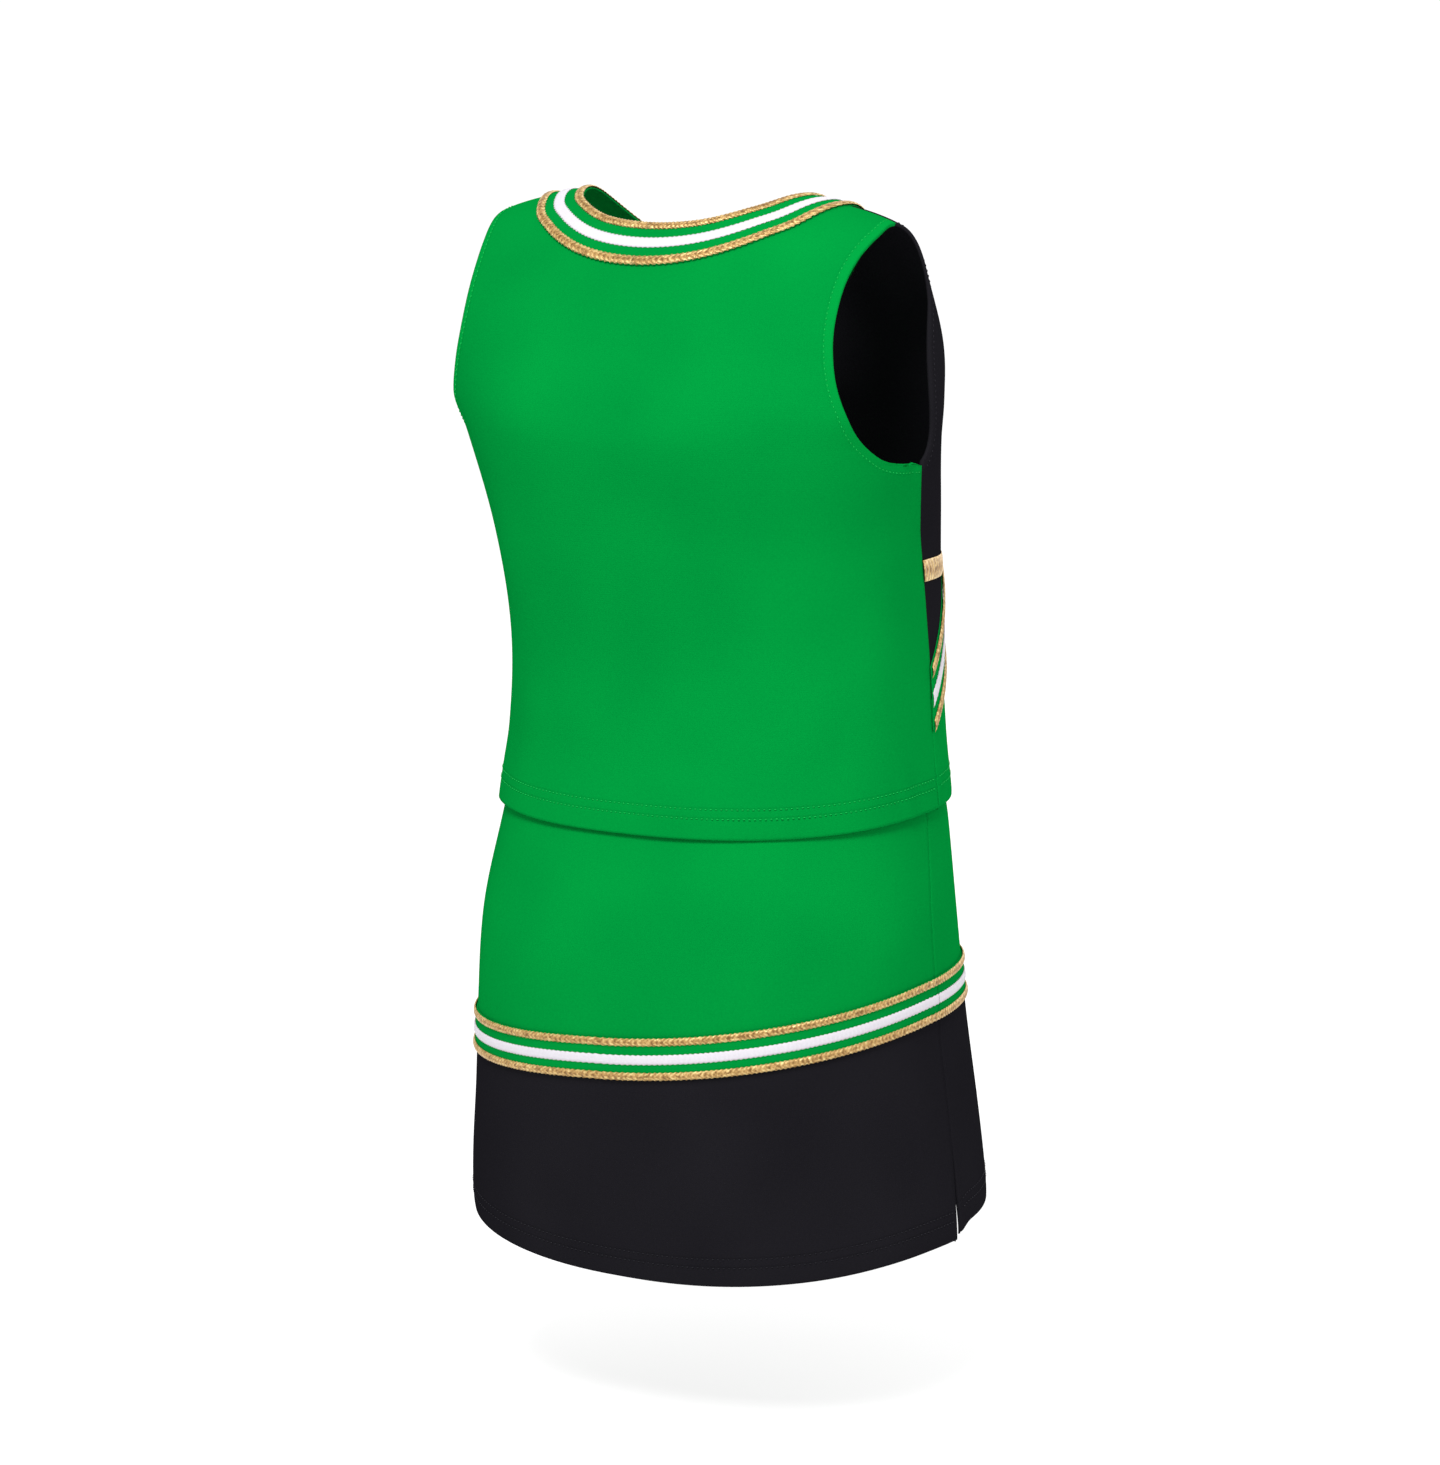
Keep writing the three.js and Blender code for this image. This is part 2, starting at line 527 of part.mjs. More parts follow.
// Gold braid across each black side, from the side seam to the chevron band.
const SEARCH_STEP = 0.1; // degrees of turn
function goldBandEnd(z) {
  let turn = SEAM_AT_CHEVRON;
  while (chevronZ(turn) + chevronHalfHeight(turn) < z) turn += SEARCH_STEP;
  return turn - GOLD_BAND.short;
}
const GOLD_BAND_START = 2 * HALF_TURN; // degrees of turn from the seam's line
const goldBandEdge = (z) => (u) => {
  const turn = lerp(readAt(TOP_SEAM, z, "turn") + GOLD_BAND_START, goldBandEnd(z), u);
  return place(turn, dropTo(TOP, turn, z));
};
const GOLD_BAND_COLUMNS = 6;
const asDrawn = (outline) => outline;
for (const [name, flip] of [["gold_band_left", asDrawn], ["gold_band_right", mirrored]]) {
  const rows = [GOLD_BAND.bottomZ, GOLD_BAND.topZ].map((z) =>
    spread(flip(goldBandEdge(z)), GOLD_BAND_COLUMNS));
  addPiece(name, GOLD, TOP, rows, GOLD_BAND_PARTING, STRIPE);
}

// ---- Skirt ----
const HIP_HALF = HIP_BAND.width / 2;
const hipZ = (turn) =>
  HIP_BAND.level - HIP_BAND.slant * Math.cos(radians(turn - HIP_BAND.lowestTurn));
const hemZ = (turn) => {
  const isFront = turn > SKIRT_SEAM_TURN;
  if (isFront) return SKIRT_HEM.atFrontSeam - SKIRT_HEM.frontRise * Math.cos(radians(turn));
  const aside = Math.sin(radians(turn - SKIRT_HEM.lowestTurn));
  return SKIRT_HEM.atBack + SKIRT_HEM.backRise * aside * aside;
};
// Degrees by which a side edge stands back from the seam line, growing down the slit.
const slitGap = (z) => {
  const opened = THREE.MathUtils.clamp((SLIT.top - z) / SLIT.opensOver, 0, 1);
  return HALF_TURN + SLIT.halfGap * opened;
};

// A grid of the skirt between two turns, its rows given as heights that depend on the turn.
const SKIRT_COLUMNS = 24;
const YOKE_ROWS = 8;
const LOWER_ROWS = 7;
const skirtGrid = ([fromTurn, toTurn], heights) =>
  heights.map((heightAt) => Array.from({ length: SKIRT_COLUMNS + 1 }, (_, c) => {
    const share = c / SKIRT_COLUMNS;
    const z = heightAt(lerp(fromTurn + HALF_TURN, toTurn - HALF_TURN, share));
    const gap = slitGap(z);
    return place(lerp(fromTurn + gap, toTurn - gap, share), -z);
  }));
const levels = (bottomZ, topZ, rows) =>
  Array.from({ length: rows + 1 }, (_, r) => (turn) => lerp(bottomZ(turn), topZ(turn), r / rows));

const BACK_SPAN = [-SKIRT_SEAM_TURN, SKIRT_SEAM_TURN];
const FRONT_SPAN = [SKIRT_SEAM_TURN, 360 - SKIRT_SEAM_TURN];
const aboveBand = (turn) => hipZ(turn) + HIP_HALF + PARTING;
const belowBand = (turn) => hipZ(turn) - HIP_HALF - PARTING;
const belowWaistband = () => WAIST.joint - PARTING;
const hipLevels = STRIPES.map((share) => (turn) => hipZ(turn) + HIP_HALF * (1 - 2 * share));
for (const [side, span] of [["back", BACK_SPAN], ["front", FRONT_SPAN]]) {
  const yoke = skirtGrid(span, levels(aboveBand, belowWaistband, YOKE_ROWS));
  const lower = skirtGrid(span, levels(hemZ, belowBand, LOWER_ROWS));
  addPiece(`skirt_yoke_${side}`, GREEN, SKIRT, yoke, -CLOTH, CLOTH);
  addBand(`hip_${side}`, SKIRT, skirtGrid(span, hipLevels), ["gold_upper", "gold_lower"]);
  addPiece(`skirt_lower_${side}`, BLACK, SKIRT, lower, -CLOTH, CLOTH);
}

const WAISTBAND_COLUMNS = 48;
const waistbandRow = (z) =>
  Array.from({ length: WAISTBAND_COLUMNS }, (_, c) => place((360 * c) / WAISTBAND_COLUMNS, -z));
const waistband = [waistbandRow(WAIST.joint), waistbandRow(WAIST.top)];
addPiece("skirt_waistband", ELASTIC_BLACK, SKIRT, waistband, -ELASTIC, ELASTIC, true);

export default uniform;
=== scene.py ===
import math
from collections import namedtuple

import bmesh
import bpy
import numpy as np
from mathutils import Matrix, Vector


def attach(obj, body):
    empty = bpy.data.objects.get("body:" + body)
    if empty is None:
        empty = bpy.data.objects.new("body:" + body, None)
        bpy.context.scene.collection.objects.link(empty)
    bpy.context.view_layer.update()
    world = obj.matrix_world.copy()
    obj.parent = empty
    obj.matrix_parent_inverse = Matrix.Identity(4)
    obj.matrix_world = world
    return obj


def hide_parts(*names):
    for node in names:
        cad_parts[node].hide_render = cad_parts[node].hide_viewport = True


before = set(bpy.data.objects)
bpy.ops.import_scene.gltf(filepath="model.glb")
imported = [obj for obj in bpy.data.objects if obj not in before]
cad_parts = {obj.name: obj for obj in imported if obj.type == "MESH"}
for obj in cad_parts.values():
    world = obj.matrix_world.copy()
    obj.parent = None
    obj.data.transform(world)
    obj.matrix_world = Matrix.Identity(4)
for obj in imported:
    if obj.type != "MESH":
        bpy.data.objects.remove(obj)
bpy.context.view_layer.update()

# ---- Studio ----
# A pale paper sweep under and behind the uniform, four large soft lamps and a bright room, so that the
# knit shows its form without hard shadows. The long lens looks at the wearer's right back corner.
MM = 0.001
VIEW_TURN = math.radians(32.64)
VIEW_PITCH = math.radians(8.82)
VIEW_DISTANCE = 2933.7 * MM
VIEW_TARGET = Vector((-2.9, -21.6, -296.0)) * MM
PICTURE_LONG_SIDE = 1465  # pixels, like the focal length
FOCAL_PIXELS = 5408.67

looking = Vector((
    math.sin(VIEW_TURN) * math.cos(VIEW_PITCH),
    -math.cos(VIEW_TURN) * math.cos(VIEW_PITCH),
    -math.sin(VIEW_PITCH),
))
camera = bpy.data.objects.new("camera", bpy.data.cameras.new("camera"))
camera.data.sensor_width = 36.0
camera.data.lens = FOCAL_PIXELS * camera.data.sensor_width / PICTURE_LONG_SIDE
camera.data.clip_end = 50.0
camera.location = VIEW_TARGET - looking * VIEW_DISTANCE
camera.rotation_euler = looking.to_track_quat("-Z", "Y").to_euler()
bpy.context.collection.objects.link(camera)
bpy.context.scene.camera = camera


def linear(hex_colour):
    """An sRGB hex colour as a linear RGBA one."""
    channels = [int(hex_colour[i:i + 2], 16) / 255 for i in (1, 3, 5)]
    return tuple(c / 12.92 if c <= 0.04045 else ((c + 0.055) / 1.055) ** 2.4 for c in channels) + (1.0,)


def add_node(tree, kind, values=None, links=None, **settings):
    """A shader node with its settings, its sockets' values and the outputs that feed them."""
    node = tree.nodes.new(kind)
    for name, value in settings.items():
        setattr(node, name, value)
    for socket, value in (values or {}).items():
        node.inputs[socket].default_value = value
    for socket, output in (links or {}).items():
        tree.links.new(output, node.inputs[socket])
    return node


def empty_material(name):
    """A new material without nodes, and its node tree."""
    material = bpy.data.materials.new(name)
    material.use_nodes = True
    material.node_tree.nodes.clear()
    return material, material.node_tree


def studio_paper():
    """Matt seamless paper with a trace of tooth, glowing a little so that it stays white when far off."""
    material, tree = empty_material("seamless paper")
    grain = add_node(tree, "ShaderNodeTexNoise", {"Scale": 40.0, "Detail": 3.0})
    tone = add_node(tree, "ShaderNodeMix", {6: linear("#a2a2a2"), 7: linear("#a8a8a8")},
                    {0: grain.outputs["Fac"]}, data_type="RGBA")
    paper = add_node(tree, "ShaderNodeBsdfPrincipled",
                     {"Roughness": 0.9, "Emission Color": (1.0, 1.0, 1.0, 1.0), "Emission Strength": 0.75},
                     {"Base Color": tone.outputs[2]})
    add_node(tree, "ShaderNodeOutputMaterial", links={"Surface": paper.outputs[0]})
    return material


def picked(geometry, kind):
    """The vertices or the edges in what an operator gives back."""
    return [part for part in geometry if isinstance(part, kind)]


# in metres; the paper's wall stands farther off than the camera, whichever side the camera looks from
PAPER = {"half_width": 6.5, "front": 4.2, "back": 4.3, "floor": -0.66, "height": 5.5, "bend": 1.3}
bm = bmesh.new()
edge_start = bm.verts.new((-PAPER["half_width"], PAPER["front"], PAPER["floor"]))
edge_end = bm.verts.new((PAPER["half_width"], PAPER["front"], PAPER["floor"]))
rim = bm.edges.new((edge_start, edge_end))
swept = bmesh.ops.extrude_edge_only(bm, edges=[rim])["geom"]
reach = -(PAPER["front"] + PAPER["back"] - PAPER["bend"])
bmesh.ops.translate(bm, vec=(0, reach, 0), verts=picked(swept, bmesh.types.BMVert))
bend_start = PAPER["front"] + reach
turned = bmesh.ops.spin(
    bm, geom=picked(swept, bmesh.types.BMEdge), cent=(0, bend_start, PAPER["floor"] + PAPER["bend"]),
    axis=(1, 0, 0), angle=-math.pi / 2, steps=16,
)["geom_last"]
wall = bmesh.ops.extrude_edge_only(bm, edges=picked(turned, bmesh.types.BMEdge))["geom"]
bmesh.ops.translate(bm, vec=(0, 0, PAPER["height"]), verts=picked(wall, bmesh.types.BMVert))
bmesh.ops.recalc_face_normals(bm, faces=bm.faces)
sweep_mesh = bpy.data.meshes.new("paper_sweep")
bm.to_mesh(sweep_mesh)
bm.free()
sweep_mesh.shade_smooth()
sweep_mesh.materials.append(studio_paper())
sweep = bpy.data.objects.new("paper_sweep", sweep_mesh)
bpy.context.collection.objects.link(sweep)

Lamp = namedtuple("Lamp", "name turn height distance size watts")  # degrees, metres and watts
LAMPS = [
    Lamp("key", -20, 2.5, 2.0, 1.2, 104),
    Lamp("left_fill", 75, 0.5, 2.8, 2.0, 5),
    Lamp("right_fill", -130, 0.6, 2.8, 2.0, 5),
    Lamp("front_fill", 180, 0.9, 2.8, 2.2, 22),
]
for lamp in LAMPS:
    light = bpy.data.lights.new(lamp.name, "AREA")
    light.size = lamp.size
    light.energy = lamp.watts
    body = bpy.data.objects.new(lamp.name, light)
    turn = math.radians(lamp.turn)
    body.location = VIEW_TARGET + Vector((
        math.sin(turn) * lamp.distance, math.cos(turn) * lamp.distance, lamp.height,
    ))
    body.rotation_euler = (VIEW_TARGET - body.location).to_track_quat("-Z", "Y").to_euler()
    bpy.context.collection.objects.link(body)
room = bpy.data.worlds.new("bright room")
room.use_nodes = True
walls = room.node_tree.nodes["Background"]
walls.inputs["Color"].default_value = (1.0, 1.0, 1.0, 1.0)
walls.inputs["Strength"].default_value = 0.46
bpy.context.scene.world = room
bpy.context.scene.view_settings.view_transform = "Standard"

# ---- Back of the top ----
# One panel of green polyester double knit from the hem to the shoulders, cut in at the armholes. It is
# filled out by the wearer, its side edges are turned in at the seams, and its hem is folded up once.

# The worn form is a table of sections: half widths and depths in millimetres at each height. A place on the
# cloth is a turn, in degrees from centre back by the wearer's left, and a drop down the cloth from the top.
Section = namedtuple("Section", "z back_width front_width back front middle square")
Fold = namedtuple("Fold", "turn z length width depth lean")
Garment = namedtuple("Garment", "sections folds over_shoulder")

TOP = Garment([
    Section(0, 141, 137.5, 66, 55.5, -4, 2.3),
    Section(-40, 152, 134.7, 73, 64, -5.5, 2.7),
    Section(-78, 152, 133.8, 81, 75, -6.5, 3.1),
    Section(-110, 145, 135.3, 88, 87, -5, 2.65),
    Section(-132, 133.8, 133.8, 93, 94, -8, 2.3),
    Section(-186, 124.5, 124.5, 93.8, 93.8, -22.5, 2.3),
    Section(-240, 120.3, 120.3, 93.5, 93.5, -31.5, 2.3),
    Section(-294, 121.6, 121.6, 95.5, 94.8, -34, 2.3),
    Section(-320, 124.6, 124.6, 98.2, 96.8, -33.4, 2.3),
    Section(-345, 128.7, 128.7, 102.6, 98.6, -32.8, 2.3),
], [
    Fold(62, -318, 52, 11, 1.6, 0.1),
    Fold(-38, -322, 44, 13, 1.3, -0.12),
    Fold(-74, -250, 60, 9, 1.1, -0.05),
    Fold(80, -228, 66, 10, 1.2, 0.06),
    Fold(152, -300, 58, 12, 1.4, 0.09),
    Fold(214, -306, 50, 13, 1.2, -0.1),
    # smaller creases: troughs are negative
    Fold(-84, -178, 30, 4.5, -0.7, 0.10),
    Fold(-70, -196, 34, 6, 0.6, 0.14),
    Fold(-58, -286, 46, 7, -0.8, -0.06),
    Fold(-30, -262, 60, 9, -0.5, 0.05),
    Fold(8, -300, 52, 10, -0.6, 0.04),
    Fold(34, -268, 56, 9, 0.7, -0.07),
    Fold(72, -190, 36, 5, -0.7, -0.12),
    Fold(-46, -112, 30, 8, -0.6, -0.3),
    Fold(44, -118, 32, 9, -0.6, 0.3),
    Fold(120, -250, 46, 8, -0.8, 0.08),
    Fold(176, -262, 60, 10, -0.7, -0.04),
    Fold(236, -248, 44, 8, -0.8, -0.08),
    Fold(262, -186, 40, 6, -0.7, 0.1),
    Fold(128, -150, 34, 9, 0.8, 0.25),
    Fold(232, -152, 34, 9, 0.8, -0.25),
    # puckers where the hem's rows cross the side seams
    Fold(-88, -319, 16, 2.2, -0.8, 0.2),
    Fold(-83.5, -325, 15, 2.1, 0.7, 0.2),
    Fold(-79, -320, 14, 2.4, -0.5, 0.15),
    Fold(87, -321, 15, 2.3, -0.7, -0.2),
    Fold(82.5, -326, 14, 2.2, 0.6, -0.15),
    Fold(103, -322, 16, 2.4, -0.6, 0.2),
    Fold(257, -320, 15, 2.3, -0.7, -0.2),
], True)

# the shoulder line's height and fall, how far its tip droops, and the radius that the cloth goes over
SHOULDER = {"crown": 1.3, "fall": 0.00095, "rounding": 80.0, "tip": 122.5, "droop": 2.6}
ROUNDED_DROP = SHOULDER["rounding"] * math.pi / 2
BACK_SQUARENESS = 2.3


def read_at(sections, z, column):
    """Smooth value of one column of a garment's sections at each height."""
    heights = np.array([row.z for row in sections], float)
    values = np.array([getattr(row, column) for row in sections], float)
    last = len(sections) - 1
    rows = np.arange(last + 1)
    after, before = np.minimum(rows + 1, last), np.maximum(rows - 1, 0)
    slopes = (values[after] - values[before]) / (heights[after] - heights[before])
    i = np.clip(np.searchsorted(-heights, -z) - 1, 0, last - 1)
    span = heights[i + 1] - heights[i]
    u = np.clip((z - heights[i]) / span, 0, 1)
    bend = u * u * (3 - 2 * u)
    lead = u * (1 - u) ** 2 * span * slopes[i]
    trail = u * u * (1 - u) * span * slopes[i + 1]
    return values[i] + (values[i + 1] - values[i]) * bend + lead - trail


def shoulder_line(x):
    """Height of the shoulder line, which rounds down to the tip."""
    return SHOULDER["crown"] - SHOULDER["fall"] * x * x - SHOULDER["droop"] * (x / SHOULDER["tip"]) ** 8


def half_width(garment, turn, z):
    """Half width of the worn cloth at each turn, and the squareness of its section there."""
    is_back = np.cos(np.radians(turn)) >= 0
    width = np.where(is_back, read_at(garment.sections, z, "back_width"),
                     read_at(garment.sections, z, "front_width"))
    square = np.where(is_back, BACK_SQUARENESS, read_at(garment.sections, z, "square"))
    return width * np.abs(np.sin(np.radians(turn))) ** (2 / square), square


def smooth_body(garment, turn, drop):
    """Points of the unfolded cloth, in millimetres, at turns from centre back and drops down the cloth."""
    is_back = np.cos(np.radians(turn)) >= 0
    below, opened = np.asarray(drop, float), np.ones_like(drop, float)
    z = -below
    if garment.over_shoulder:
        bend = np.minimum(drop, ROUNDED_DROP) / SHOULDER["rounding"]
        below = SHOULDER["rounding"] * (1 - np.cos(bend)) + np.maximum(drop - ROUNDED_DROP, 0)
        opened = np.sin(bend)
        for _ in range(6):  # the height and the width there settle together
            z = shoulder_line(half_width(garment, turn, z)[0]) - below
    depth = np.where(is_back, read_at(garment.sections, z, "back"), -read_at(garment.sections, z, "front"))
    x, square = half_width(garment, turn, z)
    y = depth * np.abs(np.cos(np.radians(turn))) ** (2 / square) * opened
    x = x * np.sign(np.sin(np.radians(turn)))
    return np.stack([x, y + read_at(garment.sections, z, "middle"), z], 1)


def fold_push(garment, turn, z):
    """How far the folds push the cloth out."""
    push = np.zeros_like(z)
    for fold in garment.folds:
        along = (z - fold.z) / fold.length
        away = (turn - fold.turn - fold.lean * (z - fold.z) + 180) % 360 - 180
        push += fold.depth * np.exp(-2 * along ** 2 - (away / fold.width) ** 2)
    return push


def worn_cloth(garment, turn, drop, lift=0.0):
    """Points on the cloth's face and its outward directions, lifted by a distance in millimetres."""
    step = 0.4  # degrees, and millimetres, to either side
    points = smooth_body(garment, turn, drop)
    across = smooth_body(garment, turn + step, drop) - smooth_body(garment, turn - step, drop)
    down = smooth_body(garment, turn, drop + step) - smooth_body(garment, turn, drop - step)
    out = np.cross(across, down)
    out /= np.linalg.norm(out, axis=1)[:, None]
    push = fold_push(garment, turn, points[:, 2]) + lift
    return points + out * push[:, None], out


def drop_to(garment, turn, z):
    """The drop at which the cloth passes each height."""
    if not garment.over_shoulder:
        return -z
    below = np.maximum(shoulder_line(half_width(garment, turn, z)[0]) - z, 0)
    rounded = SHOULDER["rounding"] * np.arccos(np.clip(1 - below / SHOULDER["rounding"], -1, 1))
    return np.where(below >= SHOULDER["rounding"], ROUNDED_DROP + below - SHOULDER["rounding"], rounded)


def turn_to(garment, x, z, is_back):
    """The turn at which the cloth has each x."""
    width = np.where(is_back, read_at(garment.sections, z, "back_width"),
                     read_at(garment.sections, z, "front_width"))
    square = np.where(is_back, BACK_SQUARENESS, read_at(garment.sections, z, "square"))
    angle = np.degrees(np.arcsin(np.clip(np.abs(x) / width, 0, 1) ** (square / 2)))
    return np.where(is_back, angle, 180 - angle)


def line_through(points, closed=False, steps=24):
    """A smooth line through a few points, sampled closely, with the same steps between each pair."""
    p = np.asarray(points, float)
    if closed:
        p = np.vstack([p[-1:], p, p[:2]])
    else:
        p = np.vstack([2 * p[0] - p[1], p, 2 * p[-1] - p[-2]])
    u = np.arange(steps)[:, None] / steps
    spans = []
    for a, b, c, d in zip(p[:-3], p[1:-2], p[2:-1], p[3:]):
        spans.append(0.5 * (2 * b + (c - a) * u + (2 * a - 5 * b + 4 * c - d) * u ** 2
                            + (3 * b - a - 3 * c + d) * u ** 3))
    return np.vstack([*spans, p[-2:-1]])


def evenly(line):
    """A function from 0 to 1 along a sampled line, by its length."""
    lengths = np.concatenate([[0], np.cumsum(np.linalg.norm(np.diff(line, axis=0), axis=1))])
    return lambda u: np.stack([np.interp(u * lengths[-1], lengths, column) for column in line.T], 1)


LOW_SEAM_TURN = 97.0  # where the top's side seams run below the waist
TOP_SEAM = np.array([
    (-140, 92.4), (-180, 92.6), (-215, 95), (-250, LOW_SEAM_TURN), (-340, LOW_SEAM_TURN),
])
TOP_HEM = {"at_back": -338.8, "rise": 8}  # its height at centre back, and the rise by either side
ARMPIT = -141.5
BACK_ARMHOLE = [(84.3, -140.9), (75.5, -137.2), (66, -126.4), (58.5, -114.6), (52.8, -100.6), (49.3, -86.7),
                (47.3, -71.5), (46.8, -56), (47.5, -42.5), (49.5, -31.8), (51.9, -24.6), (54, -19.2)]
SEAM_GAP = 0.05  # degrees from a seam's line to either panel
RIDGE_GAP = 0.4  # from the shoulder line to either panel, down the cloth


def top_seam_turn(z):
    return np.interp(-z, -TOP_SEAM[:, 0], TOP_SEAM[:, 1])


def top_hem_z(turn):
    return TOP_HEM["at_back"] + TOP_HEM["rise"] * (1 - np.cos(np.radians(turn)))


def armhole_line(spots, is_back):
    """An armhole's edge from the armpit up to the shoulder tip, as turns and drops."""
    gap = -SEAM_GAP if is_back else SEAM_GAP
    turns = np.array([top_seam_turn(ARMPIT) + gap] + [turn for turn, _ in spots])
    heights = np.array([ARMPIT] + [z for _, z in spots])
    tip = np.array([SHOULDER["tip"]])
    tip_turn = turn_to(TOP, tip, shoulder_line(tip), np.array([is_back]))
    drops = drop_to(TOP, turns, heights)
    return evenly(line_through(np.stack([np.append(turns, tip_turn), np.append(drops, RIDGE_GAP)], 1)))


def seam_line(from_z, to_z, side):
    """A side seam of the top between two heights, on its back (-1) or front (+1) side."""
    def at(u):
        z = from_z + (to_z - from_z) * u
        turn = top_seam_turn(z) + side * SEAM_GAP
        return np.stack([turn, drop_to(TOP, turn, z)], 1)
    return at


def end_to_end(lines, shares):
    """Several lines in a row, each with its share of the whole."""
    ends = np.cumsum(shares)

    def at(u):
        out = np.empty((len(u), 2))
        part = np.clip(np.searchsorted(ends, u - 1e-9), 0, len(lines) - 1)
        for i, line in enumerate(lines):
            mine = part == i
            start = ends[i] - shares[i]
            out[mine] = line(np.clip((u[mine] - start) / shares[i], 0, 1))
        return out
    return at


def mirrored(line, about=360.0):
    return lambda u: line(u) * (-1, 1) + (about, 0)


def backwards(line):
    return lambda u: line(1 - u)


def blended_panel(bottom, top, start, end):
    """Places of a panel from its four edges; a side edge's own shape fades quickly inwards."""
    def at(s, t):
        def up_down(share):
            return bottom(share) * (1 - t)[:, None] + top(share) * t[:, None]
        at_start = ((1 - s) ** 3)[:, None] * (start(t) - up_down(np.zeros_like(s)))
        at_end = (s ** 3)[:, None] * (end(t) - up_down(np.ones_like(s)))
        return up_down(s) + at_start + at_end
    return at


Neck = namedtuple("Neck", "side inner_x inner_z outer_x outer_z")
NECK = [
    Neck("back", 0, -17.7, 0, -38.7),
    Neck("back", 18, -16.9, 26, -36.7),
    Neck("back", 34, -14.5, 49, -31.2),
    Neck("back", 49, -10.1, 69, -23.2),
    Neck("back", 60, -5.9, 84.5, -14.9),
    Neck("shoulder", 67.5, None, 95, None),
    Neck("front", 69.5, -8.5, 92, -17),
    Neck("front", 65, -19, 82, -31),
    Neck("front", 54.5, -31, 68, -47),
    Neck("front", 39.5, -40.5, 49, -61.5),
    Neck("front", 20.5, -46.5, 25.5, -71.5),
    Neck("front", 0, -49, 0, -75),
]
NECK_SHOULDER = [row.side for row in NECK].index("shoulder") / (2 * (len(NECK) - 1))


def neck_edge(xs, heights):
    """An edge of the neckline as a loop of x and signed drop, the front's drops being negative."""
    half = []
    for row, x, z in zip(NECK, xs, heights):
        below = 0 if z is None else shoulder_line(x) - z
        drop = SHOULDER["rounding"] * math.acos(1 - below / SHOULDER["rounding"])
        half.append((x, -drop if row.side == "front" else drop))
    loop = half + [(-x, drop) for x, drop in half[-2:0:-1]]
    return line_through(loop, closed=True)


NECK_INNER = neck_edge([row.inner_x for row in NECK], [row.inner_z for row in NECK])
NECK_OUTER = neck_edge([row.outer_x for row in NECK], [row.outer_z for row in NECK])


def neck_places(along, across):
    """Places on the neckline, along from centre back by the wearer's left, across from inner to outer."""
    steps = np.linspace(0, 1, len(NECK_INNER))
    inner = np.stack([np.interp(along % 1, steps, c) for c in NECK_INNER.T], 1)
    outer = np.stack([np.interp(along % 1, steps, c) for c in NECK_OUTER.T], 1)
    x, signed = (inner + (outer - inner) * np.asarray(across)[:, None]).T
    below = SHOULDER["rounding"] * (1 - np.cos(np.abs(signed) / SHOULDER["rounding"]))
    turn = turn_to(TOP, x, shoulder_line(x) - below, signed >= 0)
    return np.stack([np.where(x >= 0, turn, 360 - turn), np.abs(signed)], 1)


UNDER_NECK_BAND = 0.8  # share of the band's width at which the panels' edges lie under it


def panel_neck(start, end, wrap_to_zero):
    def at(u):
        places = neck_places(start + (end - start) * u, np.full_like(u, UNDER_NECK_BAND))
        places[:, 1] = np.maximum(places[:, 1], RIDGE_GAP)
        if wrap_to_zero:
            places[:, 0] = np.where(places[:, 0] > 180, places[:, 0] - 360, places[:, 0])
        return places
    return at


def shoulder_edge(is_back):
    """The shoulder seam from the tip to the neck."""
    shoulder = NECK[[row.side for row in NECK].index("shoulder")]
    neck_x = shoulder.inner_x + (shoulder.outer_x - shoulder.inner_x) * UNDER_NECK_BAND

    def at(u):
        x = SHOULDER["tip"] + (neck_x - SHOULDER["tip"]) * u
        turn = turn_to(TOP, x, shoulder_line(x), np.full(len(x), is_back))
        return np.stack([turn, np.full_like(u, RIDGE_GAP)], 1)
    return at


def distance_to(points, line):
    """Distance from each point to a sampled line, in millimetres."""
    nearest = np.full(len(points), 1e6)
    for spot in line:
        nearest = np.minimum(nearest, np.linalg.norm(points - spot, axis=1))
    return nearest


NO_EDGE = 1000.0  # stands for an edge that a panel doesn't have, in millimetres
TUCK_STEP = 0.9  # how far each turned-in row goes in at a seam
FLAT_RADIUS = 0.115  # metres of cloth in a radian of turn, for laying the knit's ribs


